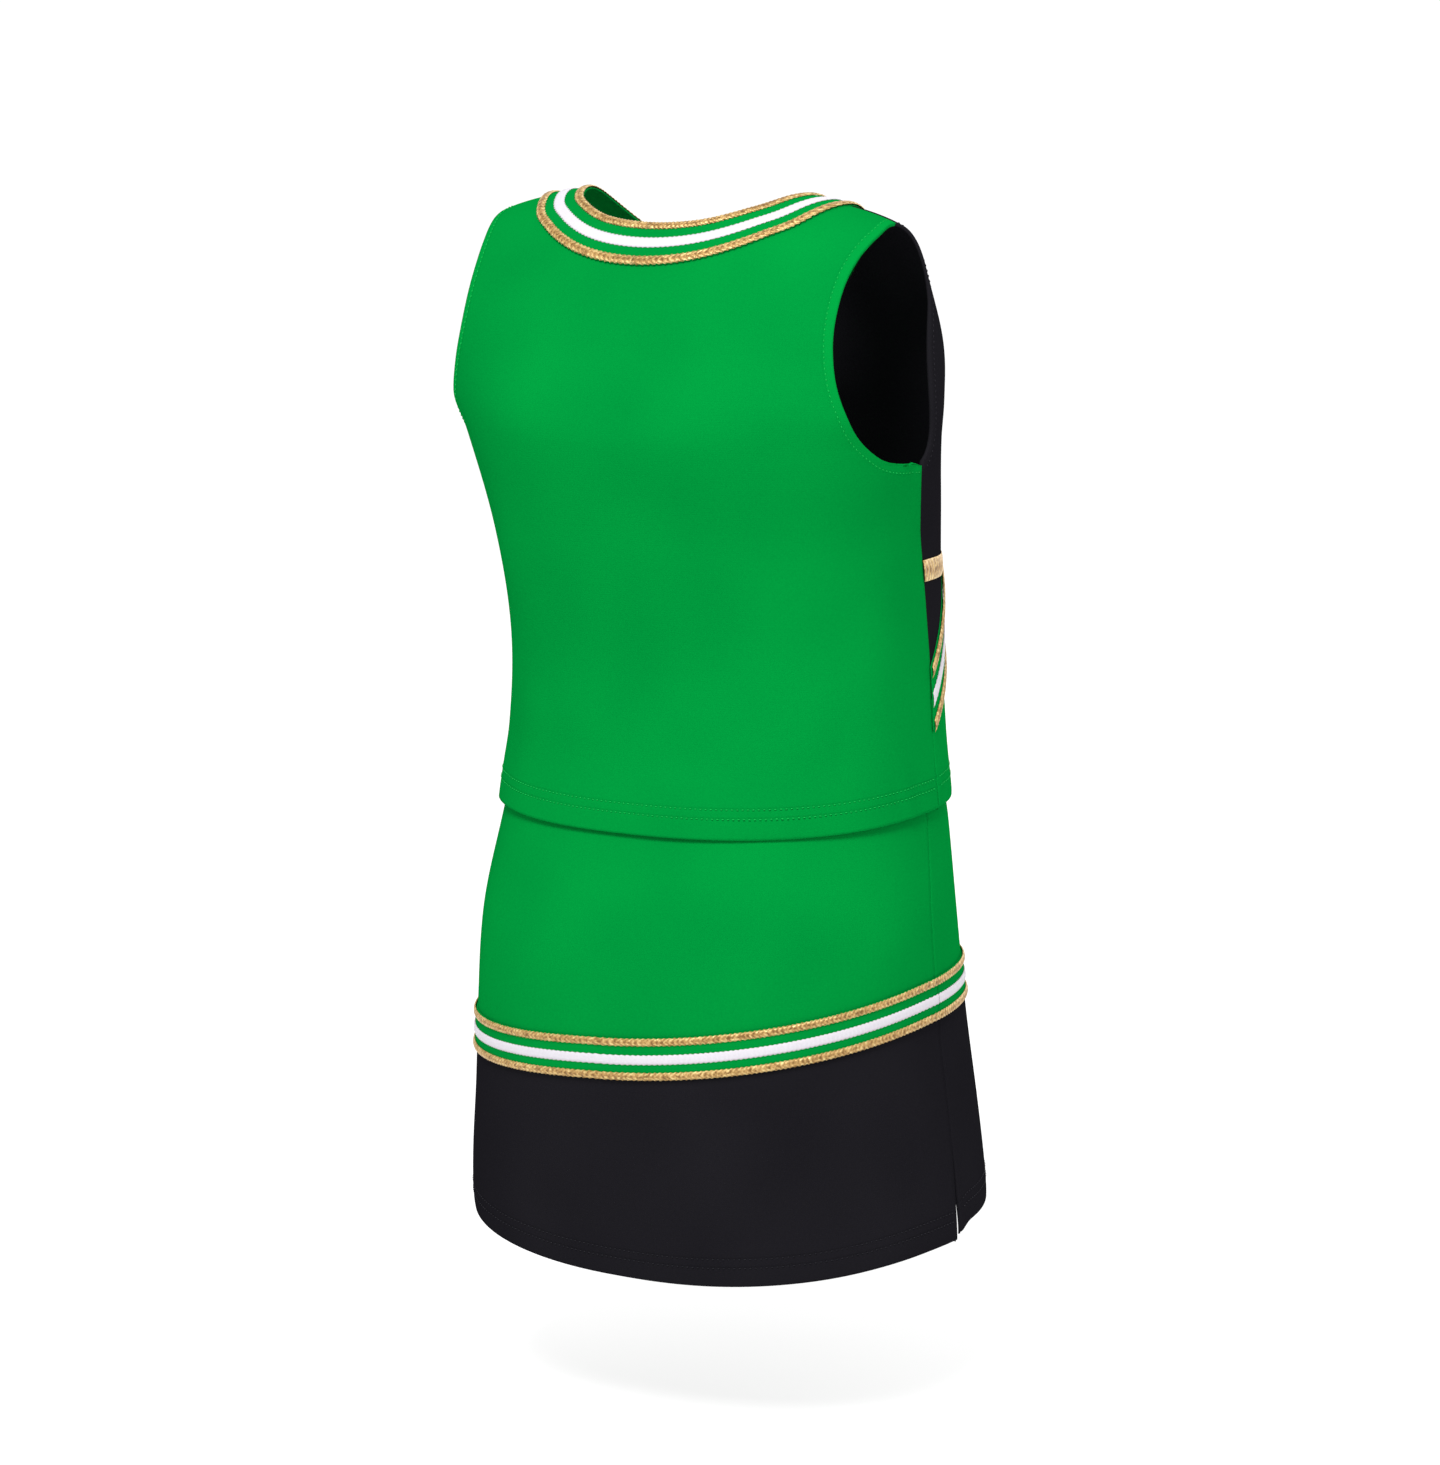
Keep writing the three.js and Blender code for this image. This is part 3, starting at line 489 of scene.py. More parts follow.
def sew(name, garment, places, columns, rows, cloth, wall=1.2, lift=0.0, crowd=0.35, tuck=(0, 0, 0, 0),
        ring=False, armhole=None, hem=None, shape=None, repeats=1):
    """A piece of cloth, made from a flat grid laid on the worn form and given its wall.

    tuck holds how many rows or columns turn in at the start, end, bottom and top. shape gives extra lift
    from the share along and the share across. repeats is how often a plait repeats along the piece.
    """
    bm = bmesh.new()
    bmesh.ops.create_grid(bm, x_segments=columns, y_segments=rows, size=0.5,
                          matrix=Matrix.Translation((0.5, 0.5, 0.0)))
    grid = np.array([vert.co[:2] for vert in bm.verts])
    shares, turned_in = [], np.zeros(len(grid))
    for axis, segments in ((0, columns), (1, rows)):
        index = np.rint(grid[:, axis] * segments)
        low, high = tuck[2 * axis], tuck[2 * axis + 1]
        turned_in = np.maximum(turned_in, np.maximum(low - index, index - (segments - high)))
        share = np.clip((index - low) / (segments - low - high), 0, 1)
        shares.append(share - crowd * np.sin(2 * np.pi * share) / (2 * np.pi))
    s, t = shares
    turn, drop = places(s, t).T
    extra = lift - TUCK_STEP * turned_in
    if shape is not None:
        extra = extra + shape(s, t)
    points, out = worn_cloth(garment, turn, drop, extra)
    for vert, point in zip(bm.verts, points):
        vert.co = point * MM
    if ring:
        bmesh.ops.remove_doubles(bm, verts=bm.verts, dist=1e-6)
    bm.verts.index_update()
    bm.faces.ensure_lookup_table()
    bm.normal_update()
    kept = np.arange(len(points))
    if ring:  # the last column has gone into the first
        kept = kept[kept % (columns + 1) != columns]
    facing = sum(face.normal.dot(Vector(out[kept[face.verts[0].index]])) for face in bm.faces)
    if facing < 0:
        bmesh.ops.reverse_faces(bm, faces=bm.faces)
    face = smooth_body(garment, turn, drop)
    mesh = bpy.data.meshes.new(name)
    bm.to_mesh(mesh)
    bm.free()
    corner = np.empty(len(mesh.loops), int)
    mesh.loops.foreach_get("vertex_index", corner)
    spread = np.stack([np.radians(turn) * FLAT_RADIUS, face[:, 2] * MM], 1)
    for label, flat in (("cloth", spread), ("plait", np.stack([s * repeats, t], 1))):
        layer = mesh.uv_layers.new(name=label)
        layer.data.foreach_set("uv", flat[kept][corner].astype(np.float32).ravel())
    above_hem = face[:, 2] - hem(turn) if hem is not None else np.full(len(face), NO_EDGE)
    from_armhole = distance_to(points, armhole) if armhole is not None else np.full(len(face), NO_EDGE)
    for label, distance in (("above_hem", above_hem), ("from_armhole", from_armhole)):
        layer = mesh.attributes.new(label, "FLOAT", "POINT")
        layer.data.foreach_set("value", (distance[kept] * MM).astype(np.float32))
    mesh.shade_smooth()
    mesh.materials.append(cloth)
    piece = bpy.data.objects.new(name, mesh)
    bpy.context.collection.objects.link(piece)
    solid = piece.modifiers.new("wall", "SOLIDIFY")
    solid.thickness = wall * MM
    solid.offset = -1.0
    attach(piece, "root")
    return piece


WAVE_PERIOD = math.pi / 10  # period of a wave texture at a scale of 1
KNIT = {"ribs": 1.5, "loops": 1.2, "filaments": 1.4, "shade_patches": 70}  # millimetres
HEM_ROWS = (10.8, 15.8)  # heights of the needle lines above a hem's edge, in millimetres
ARMHOLE_ROW = 5.0  # from an armhole's edge to its needle line


def double_knit(name, face, shade):
    """Polyester interlock: a fine matt face of close ribs. Its colour runs between face, a lit copy of the
    knit's colour, and shade, a shaded copy: fine mottle paints glints where the filaments catch the light,
    and broad soft patches paint light and shade.

    The real ribs are 0.9 mm apart; they are drawn 1.5 mm apart so that they show. Stitched hems dip at
    their needle lines, and a painted highlight lightens the turned, double cloth for 4 to 5 mm beside each
    armhole's edge.
    """
    material, tree = empty_material(name)
    flat = add_node(tree, "ShaderNodeUVMap", uv_map="cloth")
    place = add_node(tree, "ShaderNodeTexCoord")
    ribs = add_node(tree, "ShaderNodeTexWave",
                    {"Scale": WAVE_PERIOD / (KNIT["ribs"] * MM), "Distortion": 0.6, "Detail": 1.0},
                    {"Vector": flat.outputs[0]}, bands_direction="X")
    loops = add_node(tree, "ShaderNodeTexWave",
                     {"Scale": WAVE_PERIOD / (KNIT["loops"] * MM), "Distortion": 0.8},
                     {"Vector": flat.outputs[0]}, bands_direction="Y")
    # fine mottle and broad soft patches move the colour between the lit and the shaded copy: painted
    # glints, painted light and painted shade
    glint_mottle = add_node(tree, "ShaderNodeTexNoise",
                      {"Scale": 1 / (KNIT["filaments"] * MM), "Detail": 3.0, "Roughness": 0.7},
                      {"Vector": place.outputs["Object"]})
    shade_patches = add_node(tree, "ShaderNodeTexNoise", {"Scale": 1 / (KNIT["shade_patches"] * MM), "Detail": 1.0},
                     {"Vector": place.outputs["Object"]})
    knit = add_node(tree, "ShaderNodeMath", links={0: ribs.outputs["Fac"], 1: loops.outputs["Fac"]},
                    operation="MULTIPLY")
    from_hem = add_node(tree, "ShaderNodeAttribute", attribute_name="above_hem")
    from_armhole = add_node(tree, "ShaderNodeAttribute", attribute_name="from_armhole")
    grooves = []
    for distance, line in ((from_hem, HEM_ROWS[0]), (from_hem, HEM_ROWS[1]), (from_armhole, ARMHOLE_ROW)):
        away = add_node(tree, "ShaderNodeMath", {1: line * MM}, {0: distance.outputs["Fac"]},
                        operation="SUBTRACT")
        beside = add_node(tree, "ShaderNodeMath", links={0: away.outputs[0]}, operation="ABSOLUTE")
        grooves.append(add_node(tree, "ShaderNodeMapRange", {1: 0.0, 2: 1.4 * MM, 3: -1.0, 4: 0.0},
                                {0: beside.outputs[0]}, interpolation_type="SMOOTHSTEP"))
    # painted highlight: the 4 to 5 mm beside an armhole's edge, where the cloth is turned and double, is
    # pushed towards the lit colour
    armhole_highlight = add_node(tree, "ShaderNodeMapRange", {1: 4.2 * MM, 2: 5.2 * MM, 3: 0.9, 4: 0.0},
                       {0: from_armhole.outputs["Fac"]})
    dips = grooves[0]
    for groove in grooves[1:]:
        dips = add_node(tree, "ShaderNodeMath", links={0: dips.outputs[0], 1: groove.outputs[0]},
                        operation="ADD")
    relief = add_node(tree, "ShaderNodeMath", {1: 0.16}, {0: knit.outputs[0], 2: dips.outputs[0]},
                      operation="MULTIPLY_ADD")
    bump = add_node(tree, "ShaderNodeBump", {"Strength": 0.55, "Distance": 0.35 * MM},
                    {"Height": relief.outputs[0]})
    blend = add_node(tree, "ShaderNodeMath", {1: 0.6}, {0: glint_mottle.outputs["Fac"], 2: shade_patches.outputs["Fac"]},
                     operation="MULTIPLY_ADD")
    level = add_node(tree, "ShaderNodeMapRange", {1: 0.45, 2: 1.15, 3: 0.0, 4: 1.0}, {0: blend.outputs[0]})
    lighter = add_node(tree, "ShaderNodeMath", links={0: level.outputs[0], 1: armhole_highlight.outputs[0]},
                       operation="ADD", use_clamp=True)
    colour = add_node(tree, "ShaderNodeMix", {6: linear(shade), 7: linear(face)}, {0: lighter.outputs[0]},
                      data_type="RGBA")
    surface = add_node(tree, "ShaderNodeBsdfPrincipled",
                       {"Roughness": 0.8, "Specular IOR Level": 0.0},
                       {"Base Color": colour.outputs[2], "Normal": bump.outputs[0]})
    add_node(tree, "ShaderNodeOutputMaterial", links={"Surface": surface.outputs[0]})
    return material


# each knit's first colour is its lit copy and its second its shaded copy; the noise that mixes them paints
# light and shade
GREEN_KNIT = double_knit("green polyester double knit", "#028b37", "#017e32")
# how much of a panel's grid each part of its edge takes: a shoulder and the neck along the top, then the
# seam and the armhole up a side of the back
SHOULDER_SHARE, NECK_SHARE = 4 / 30, 22 / 30
BACK_SIDE_SHARES = [10 / 19, 9 / 19]

back_armhole = armhole_line(BACK_ARMHOLE, True)
hem_corner = float(top_hem_z(LOW_SEAM_TURN))
back_side = end_to_end([seam_line(hem_corner, ARMPIT, -1), back_armhole], BACK_SIDE_SHARES)


def back_hem_line(u):
    turn = (2 * u - 1) * (LOW_SEAM_TURN - SEAM_GAP)
    return np.stack([turn, drop_to(TOP, turn, top_hem_z(turn))], 1)


def worn_line(garment, line, lift=0.0, count=160):
    """Points along an edge on the worn cloth."""
    turn, drop = line(np.linspace(0, 1, count)).T
    return worn_cloth(garment, turn, drop, lift)[0]


HEM_CURL = {"depth": 2.4, "middle": 0.31, "width": 0.08, "elsewhere": 0.4, "fade": 45}


def hem_curl(s, t):
    """The hem rolls in under itself for a hand's width, right of centre back."""
    near_edge = np.exp(-t * HEM_CURL["fade"])
    rolled = HEM_CURL["depth"] * near_edge * np.exp(-((s - HEM_CURL["middle"]) / HEM_CURL["width"]) ** 2)
    return -rolled - HEM_CURL["elsewhere"] * near_edge


back_shoulder = shoulder_edge(True)
back_panel = sew(
    "back_panel", TOP,
    blended_panel(
        back_hem_line,
        end_to_end(
            [mirrored(back_shoulder, 0.0), panel_neck(1 - NECK_SHOULDER, 1 + NECK_SHOULDER, True),
             backwards(back_shoulder)],
            [SHOULDER_SHARE, NECK_SHARE, SHOULDER_SHARE],
        ),
        mirrored(back_side, 0.0), back_side,
    ),
    140, 150, GREEN_KNIT, tuck=(2, 2, 1, 0), shape=hem_curl, hem=top_hem_z,
    armhole=np.vstack([worn_line(TOP, back_armhole), worn_line(TOP, mirrored(back_armhole, 0.0))]),
)
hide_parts("top_back")

# ---- Front of the top ----
# Two panels of the same knit, black above the chevron band and green below it. Both run in under the
# band, where they are joined; the black one is seen from inside through the armhole.
FRONT_ARMHOLE = [(96, -136), (98, -127), (97, -114), (95.3, -99), (94.5, -84), (96, -69), (101, -54),
                 (106, -41), (110, -29)]
FRONT_SIDE_SHARES = [8 / 17, 9 / 17]
JOIN_GAP = 0.3  # from a join's line, hidden under a band, to either panel
CHEVRON = {"seam_z": -272.0, "apex_z": -118.0, "width": 25.0}
# a lit and a shaded copy of the black, mixed as painted light and shade like the green
BLACK_KNIT = double_knit("black polyester double knit", "#1d1c20", "#18171b")


def chevron_z(turn):
    share = np.abs(180 - turn) / (180 - LOW_SEAM_TURN)
    return CHEVRON["apex_z"] + (CHEVRON["seam_z"] - CHEVRON["apex_z"]) * share


def chevron_half_height(turn):
    """Half of the band's height, measured upright on its slope."""
    towards_side = np.where(turn < 180, -1.0, 1.0)
    here = smooth_body(TOP, turn, drop_to(TOP, turn, chevron_z(turn)))
    side_turn = turn + towards_side
    side = smooth_body(TOP, side_turn, drop_to(TOP, side_turn, chevron_z(side_turn))) - here
    return CHEVRON["width"] / 2 * np.hypot(1, side[:, 2] / np.hypot(side[:, 0], side[:, 1]))


def across_front(share, gap):
    """Turns across the front, each end standing a gap inside its side seam."""
    return LOW_SEAM_TURN + gap + (360 - 2 * LOW_SEAM_TURN - 2 * gap) * share


def chevron_join(shift):
    """The line down the middle of the chevron band, shifted up or down."""
    def at(u):
        turn = across_front(u, SEAM_GAP)
        return np.stack([turn, drop_to(TOP, turn, chevron_z(turn) + shift)], 1)
    return at


front_armhole = armhole_line(FRONT_ARMHOLE, False)
front_side = end_to_end([seam_line(CHEVRON["seam_z"] + JOIN_GAP, ARMPIT, 1), front_armhole],
                        FRONT_SIDE_SHARES)
front_shoulder = shoulder_edge(False)
front_upper = sew(
    "front_upper_panel", TOP,
    blended_panel(
        chevron_join(JOIN_GAP),
        end_to_end(
            [front_shoulder, panel_neck(NECK_SHOULDER, 1 - NECK_SHOULDER, False),
             backwards(mirrored(front_shoulder))],
            [SHOULDER_SHARE, NECK_SHARE, SHOULDER_SHARE],
        ),
        front_side, mirrored(front_side),
    ),
    132, 100, BLACK_KNIT, tuck=(2, 2, 0, 0),
    armhole=np.vstack([worn_line(TOP, front_armhole), worn_line(TOP, mirrored(front_armhole))]),
)
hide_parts("top_front_upper")


def front_hem_line(u):
    turn = across_front(u, SEAM_GAP)
    return np.stack([turn, drop_to(TOP, turn, top_hem_z(turn))], 1)


def folded_hem(fade):
    """A hem's last few millimetres turning in; the fade is larger where the panel is longer."""
    return lambda s, t: -0.5 * np.exp(-t * fade)


lower_side = seam_line(hem_corner, CHEVRON["seam_z"] - JOIN_GAP, 1)
front_lower = sew(
    "front_lower_panel", TOP,
    blended_panel(front_hem_line, chevron_join(-JOIN_GAP), lower_side, mirrored(lower_side)),
    120, 60, GREEN_KNIT, tuck=(2, 2, 1, 0), hem=top_hem_z, shape=folded_hem(34),
)
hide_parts("top_front_lower")

# ---- Neck band ----
# A green band of the same knit, folded over the raw neckline and stitched down, 27 mm wide. Gold lurex
# braid runs along both its edges and white satin braid down its middle.
BAND_LIFT = 1.0  # from the panels to the band's face
BRAID_LIFT = 0.35  # from the band's face to the foot of a braid's rounded back
PLAIT_RISE = 0.12  # of a braid where its plait turns


def lurex_braid(name):
    """Flat braid of metallised film yarn: pale edges, a darker plaited middle, and specks of painted glint.

    The real strands are 0.5 mm wide; they are drawn as plaits 3 mm apart so that they show.
    """
    material, tree = empty_material(name)
    place = add_node(tree, "ShaderNodeTexCoord")
    flat = add_node(tree, "ShaderNodeUVMap", uv_map="plait")
    shares = add_node(tree, "ShaderNodeSeparateXYZ", links={0: flat.outputs[0]})
    off_middle = add_node(tree, "ShaderNodeMath", {1: 0.5}, {0: shares.outputs[1]},
                          operation="SUBTRACT")
    to_edge = add_node(tree, "ShaderNodeMath", links={0: off_middle.outputs[0]}, operation="ABSOLUTE")
    slanted = add_node(tree, "ShaderNodeMath", {1: 1.3}, {0: to_edge.outputs[0], 2: shares.outputs[0]},
                       operation="MULTIPLY_ADD")
    turns = add_node(tree, "ShaderNodeMath", {1: 2 * math.pi}, {0: slanted.outputs[0]},
                     operation="MULTIPLY")
    strands = add_node(tree, "ShaderNodeMath", links={0: turns.outputs[0]}, operation="SINE")
    # random cells, some lighter and some darker, painted as the glints of the metallised film
    glint_flecks = add_node(tree, "ShaderNodeTexVoronoi", {"Scale": 1 / (1.3 * MM), "Randomness": 1.0},
                      {"Vector": place.outputs["Object"]})
    tangle = add_node(tree, "ShaderNodeTexNoise",
                      {"Scale": 1 / (2.4 * MM), "Detail": 2.0, "Roughness": 0.6},
                      {"Vector": place.outputs["Object"]})
    tone = add_node(tree, "ShaderNodeSeparateColor", links={0: glint_flecks.outputs["Color"]})
    glints_and_tangle = add_node(tree, "ShaderNodeMath", {1: 0.45}, {0: tone.outputs[0], 2: tangle.outputs["Fac"]},
                        operation="MULTIPLY_ADD")
    plaited = add_node(tree, "ShaderNodeMath", {1: 0.13}, {0: strands.outputs[0], 2: glints_and_tangle.outputs[0]},
                       operation="MULTIPLY_ADD")
    edged = add_node(tree, "ShaderNodeMath", {1: 0.75}, {0: to_edge.outputs[0], 2: plaited.outputs[0]},
                     operation="MULTIPLY_ADD")
    level = add_node(tree, "ShaderNodeMapRange", {1: 0.5, 2: 1.35, 3: 0.0, 4: 1.0}, {0: edged.outputs[0]})
    ramp = add_node(tree, "ShaderNodeValToRGB", links={0: level.outputs[0]})
    ramp.color_ramp.elements[0].color = linear("#805d2d")
    ramp.color_ramp.elements[1].color = linear("#eacf8e")
    middle = ramp.color_ramp.elements.new(0.5)
    middle.color = linear("#c0985b")
    height = add_node(tree, "ShaderNodeMath", {1: 0.6}, {0: strands.outputs[0], 2: glints_and_tangle.outputs[0]},
                      operation="MULTIPLY_ADD")
    bump = add_node(tree, "ShaderNodeBump", {"Strength": 0.8, "Distance": 0.3 * MM},
                    {"Height": height.outputs[0]})
    surface = add_node(tree, "ShaderNodeBsdfPrincipled",
                       {"Metallic": 0.25, "Roughness": 0.42, "Specular IOR Level": 0.4},
                       {"Base Color": ramp.outputs["Color"], "Normal": bump.outputs[0]})
    add_node(tree, "ShaderNodeOutputMaterial", links={"Surface": surface.outputs[0]})
    return material


def satin_braid(name):
    """White satin-faced braid: smooth and faintly glossy, with a fine crosswise rib."""
    material, tree = empty_material(name)
    place = add_node(tree, "ShaderNodeTexCoord")
    threads = add_node(tree, "ShaderNodeTexNoise", {"Scale": 1 / (1.1 * MM), "Detail": 2.0},
                       {"Vector": place.outputs["Object"]})
    tone = add_node(tree, "ShaderNodeMix", {6: linear("#cbc6ce"), 7: linear("#dad6dd")},
                    {0: threads.outputs["Fac"]}, data_type="RGBA")
    bump = add_node(tree, "ShaderNodeBump", {"Strength": 0.3, "Distance": 0.2 * MM},
                    {"Height": threads.outputs["Fac"]})
    surface = add_node(tree, "ShaderNodeBsdfPrincipled",
                       {"Roughness": 0.5, "Sheen Weight": 0.05, "Specular IOR Level": 0.15},
                       {"Base Color": tone.outputs[2], "Normal": bump.outputs[0]})
    add_node(tree, "ShaderNodeOutputMaterial", links={"Surface": surface.outputs[0]})
    return material


GOLD = lurex_braid("gold lurex braid")
WHITE = satin_braid("white satin braid")
# each braid's edges as shares of the band's width, and how far its rounded back rises
Stripe = namedtuple("Stripe", "label low high finish slot crown")
STRIPES = [
    Stripe("first_gold", 0, 0.18, GOLD, "gold_lurex", 0.75),
    Stripe("white", 0.395, 0.625, WHITE, "white_satin", 0.4),
    Stripe("second_gold", 0.815, 1, GOLD, "gold_lurex", 0.75),
]


def braid_crown(height, picots):
    """A braid's rounded back, and the small unevenness of its plait along its length."""
    def shape(s, t):
        back = height * np.sqrt(np.clip(1 - (2 * t - 1) ** 2, 0, 1))
        return back + PLAIT_RISE * np.sin(2 * np.pi * picots * s) * np.sin(np.pi * t)
    return shape


def stripe_places(places, low, high, picots):
    """Places of one stripe of a band, its edges a little uneven where the plait turns."""
    def at(s, t):
        uneven = 0.012 * np.sin(2 * np.pi * picots * s) * (2 * t - 1)
        return places(s, low + (high - low) * t + uneven)
    return at


def rolled_edges(s, t):
    """The band's folded edges going down to the panels."""
    return -0.7 * (2 * t - 1) ** 8


def lay_band(prefix, garment, places, columns, nodes, ring=False, picots=150):
    """A striped band: its green cloth, a gold braid along each edge and a white one down the middle.

    picots is how often each braid's plait turns along the band.
    """
    band = sew(f"{prefix}_band_cloth", garment, places, columns, 12, GREEN_KNIT, lift=BAND_LIFT, crowd=0.5,
               wall=0.8, ring=ring, shape=rolled_edges)
    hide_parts(nodes[0])
    for stripe, node in zip(STRIPES, nodes[1:]):
        braid = sew(
            f"{prefix}_{stripe.label}_braid", garment,
            stripe_places(places, stripe.low, stripe.high, picots),
            columns * 3, 6, stripe.finish, lift=BAND_LIFT + BRAID_LIFT, crowd=0.0, wall=0.3, ring=ring,
            shape=braid_crown(stripe.crown, picots), repeats=picots,
        )
        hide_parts(node)
    return band


lay_band("neck", TOP, neck_places, 160,
         ["neck_band", "neck_gold_inner", "neck_white", "neck_gold_outer"],
         ring=True, picots=170)

# ---- Chevron band ----
# The same striped band on the front, rising from each side seam to a point at centre front. It covers
# the join of the black and green panels.


def chevron_places(s, t):
    turn = across_front(s, 2 * SEAM_GAP)
    z = chevron_z(turn) + (1 - 2 * t) * chevron_half_height(turn)
    return np.stack([turn, drop_to(TOP, turn, z)], 1)


lay_band("chevron", TOP, chevron_places, 160,
         ["chevron_band", "chevron_gold_upper", "chevron_white", "chevron_gold_lower"],
         picots=150)

# ---- Gold braid at the sides ----
# A wider gold lurex braid across each black side of the front. It lies flat on the panel, with its ends
# caught in the side seam and under the chevron band.
SIDE_BRAID = {"top": -195.2, "bottom": -207.2, "under_band": 0.6, "picots": 14}


def side_braid_end(z):
    turns = np.arange(LOW_SEAM_TURN, 180, 0.1)
    upper = chevron_z(turns) + chevron_half_height(turns)
    return np.interp(z, upper, turns) + SIDE_BRAID["under_band"]


def side_braid_places(s, t):
    z = SIDE_BRAID["top"] + (SIDE_BRAID["bottom"] - SIDE_BRAID["top"]) * t
    start = top_seam_turn(z) + 2 * SEAM_GAP
    turn = start + (side_braid_end(z) - start) * s
    return np.stack([turn, drop_to(TOP, turn, z)], 1)


def other_side_braid_places(s, t):
    return side_braid_places(s, t) * (-1, 1) + (360, 0)


for side, places in (("left", side_braid_places), ("right", other_side_braid_places)):
    braid = sew(f"side_gold_braid_{side}", TOP, places, 60, 16, GOLD, lift=0.45, crowd=0.0, wall=0.4,
                shape=braid_crown(0.5, SIDE_BRAID["picots"]), repeats=SIDE_BRAID["picots"])
    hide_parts(f"gold_band_{side}")

# ---- Skirt ----
# A straight skirt of the same knit: a green yoke and a black lower part, back and front, joined under
# the hip band, with the side seams left open near the hem as short slits.
SKIRT = Garment([
    Section(-235, 117.7, 117.7, 90.8, 90.8, -31.2, 2.3),
    Section(-294, 118.6, 118.6, 92.2, 91.8, -34, 2.3),
    Section(-320, 120.7, 120.7, 94.2, 92.8, -33.2, 2.3),
    Section(-340, 124.4, 124.4, 98, 94.5, -32.2, 2.3),
    Section(-391, 129.3, 129.3, 115, 107, -28, 2.3),
    Section(-445, 132.5, 132.5, 122.5, 113.5, -30, 2.3),
    Section(-499, 137.5, 137.5, 121.5, 118, -33.5, 2.3),
    Section(-553, 142.6, 142.6, 118.5, 121.5, -35, 2.3),
    Section(-585, 143.8, 143.8, 115, 121.5, -38, 2.3),
], [
    Fold(66, -520, 60, 11, 1.5, 0.03),
    Fold(-52, -536, 50, 12, 1.2, -0.04),
    Fold(138, -528, 56, 12, 1.4, 0.04),
    Fold(228, -532, 52, 12, 1.3, -0.03),
    Fold(-70, -392, 40, 8, -0.7, 0.05),
    Fold(-20, -380, 44, 12, 0.6, -0.08),
    Fold(40, -384, 40, 9, -0.6, 0.06),
    Fold(20, -522, 52, 9, -0.7, 0.02),
    Fold(-80, -534, 40, 6, -0.8, 0.02),
    Fold(150, -386, 40, 10, 0.6, 0.05),
    Fold(216, -388, 42, 9, -0.6, -0.05),
    Fold(186, -530, 50, 10, -0.8, 0.02),
], False)
SKIRT_SEAM = 92.3
HIP = {"level": -443.0, "slant": 17.0, "lowest_turn": 42.0, "width": 22.5, "end_gap": 0.12}
WAIST = {"top": -238.0, "joint": -264.0, "gap": 0.4, "gathers": 60}
SLIT = {"top": -510.0, "height": 50, "shut": 0.03, "open": 0.8}  # shut and open in degrees from the seam
BACK_HEM = {"lowest": -577.5, "rise": 14.2, "lowest_turn": -8.5}
FRONT_HEM = {"at_sides": -557, "rise": 9, "corner_droop": 3.5, "corner_width": 3}


def hip_z(turn):
    return HIP["level"] - HIP["slant"] * np.cos(np.radians(turn - HIP["lowest_turn"]))


def skirt_hem_z(turn):
    """Height of the hem, whose front is shorter and droops a little at the slits."""
    back = BACK_HEM["lowest"] + BACK_HEM["rise"] * np.sin(np.radians(turn - BACK_HEM["lowest_turn"])) ** 2
    from_slit = 180 - SKIRT_SEAM - np.abs(turn - 180)
    droop = FRONT_HEM["corner_droop"] * np.exp(-(from_slit / FRONT_HEM["corner_width"]) ** 2)
    front = FRONT_HEM["at_sides"] - FRONT_HEM["rise"] * np.cos(np.radians(turn)) - droop
    return np.where(turn > SKIRT_SEAM, front, back)


def skirt_places(start, end, bottom, top):
    """Places of a skirt panel between two side seams, each edge standing back down the slit."""
    def at(s, t):
        level = start + (end - start) * s
        inside = np.clip(level, start + 0.01, end - 0.01)  # so that the hem stays this panel's own
        z = bottom(inside) * (1 - t) + top(inside) * t
        gap = SLIT["shut"] + SLIT["open"] * np.clip((SLIT["top"] - z) / SLIT["height"], 0, 1)
        return np.stack([start + gap + (end - start - 2 * gap) * s, -z], 1)
    return at


def yoke_bottom_z(turn):
    return hip_z(turn) + JOIN_GAP


def yoke_top_z(turn):
    return np.full_like(turn, WAIST["joint"] - WAIST["gap"])


def lower_top_z(turn):
    return hip_z(turn) - JOIN_GAP


for side, start, end in (("back", -SKIRT_SEAM, SKIRT_SEAM), ("front", SKIRT_SEAM, 360 - SKIRT_SEAM)):
    yoke = sew(
        f"yoke_{side}_panel", SKIRT, skirt_places(start, end, yoke_bottom_z, yoke_top_z),
        120, 60, GREEN_KNIT, tuck=(2, 2, 0, 0),
    )
    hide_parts(f"skirt_yoke_{side}")
    lower = sew(
        f"lower_{side}_panel", SKIRT, skirt_places(start, end, skirt_hem_z, lower_top_z),
        120, 56, BLACK_KNIT, tuck=(2, 2, 1, 0), hem=skirt_hem_z, shape=folded_hem(30),
    )
    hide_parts(f"skirt_lower_{side}")

    def hip_places(s, t, start=start, end=end):
        turn = start + HIP["end_gap"] + (end - start - 2 * HIP["end_gap"]) * s
        return np.stack([turn, -(hip_z(turn) + HIP["width"] / 2 * (1 - 2 * t))], 1)

    names = [f"hip_{side}_{part}" for part in ("band", "gold_upper", "white", "gold_lower")]
    lay_band(f"hip_{side}", SKIRT, hip_places, 150, names, picots=150)

# ---- Waistband ----
# Woven black elastic, 26 mm wide, with rubber cords lengthwise. It is sewn round the top of the skirt,
# holds it at the waist, and is covered by the top.


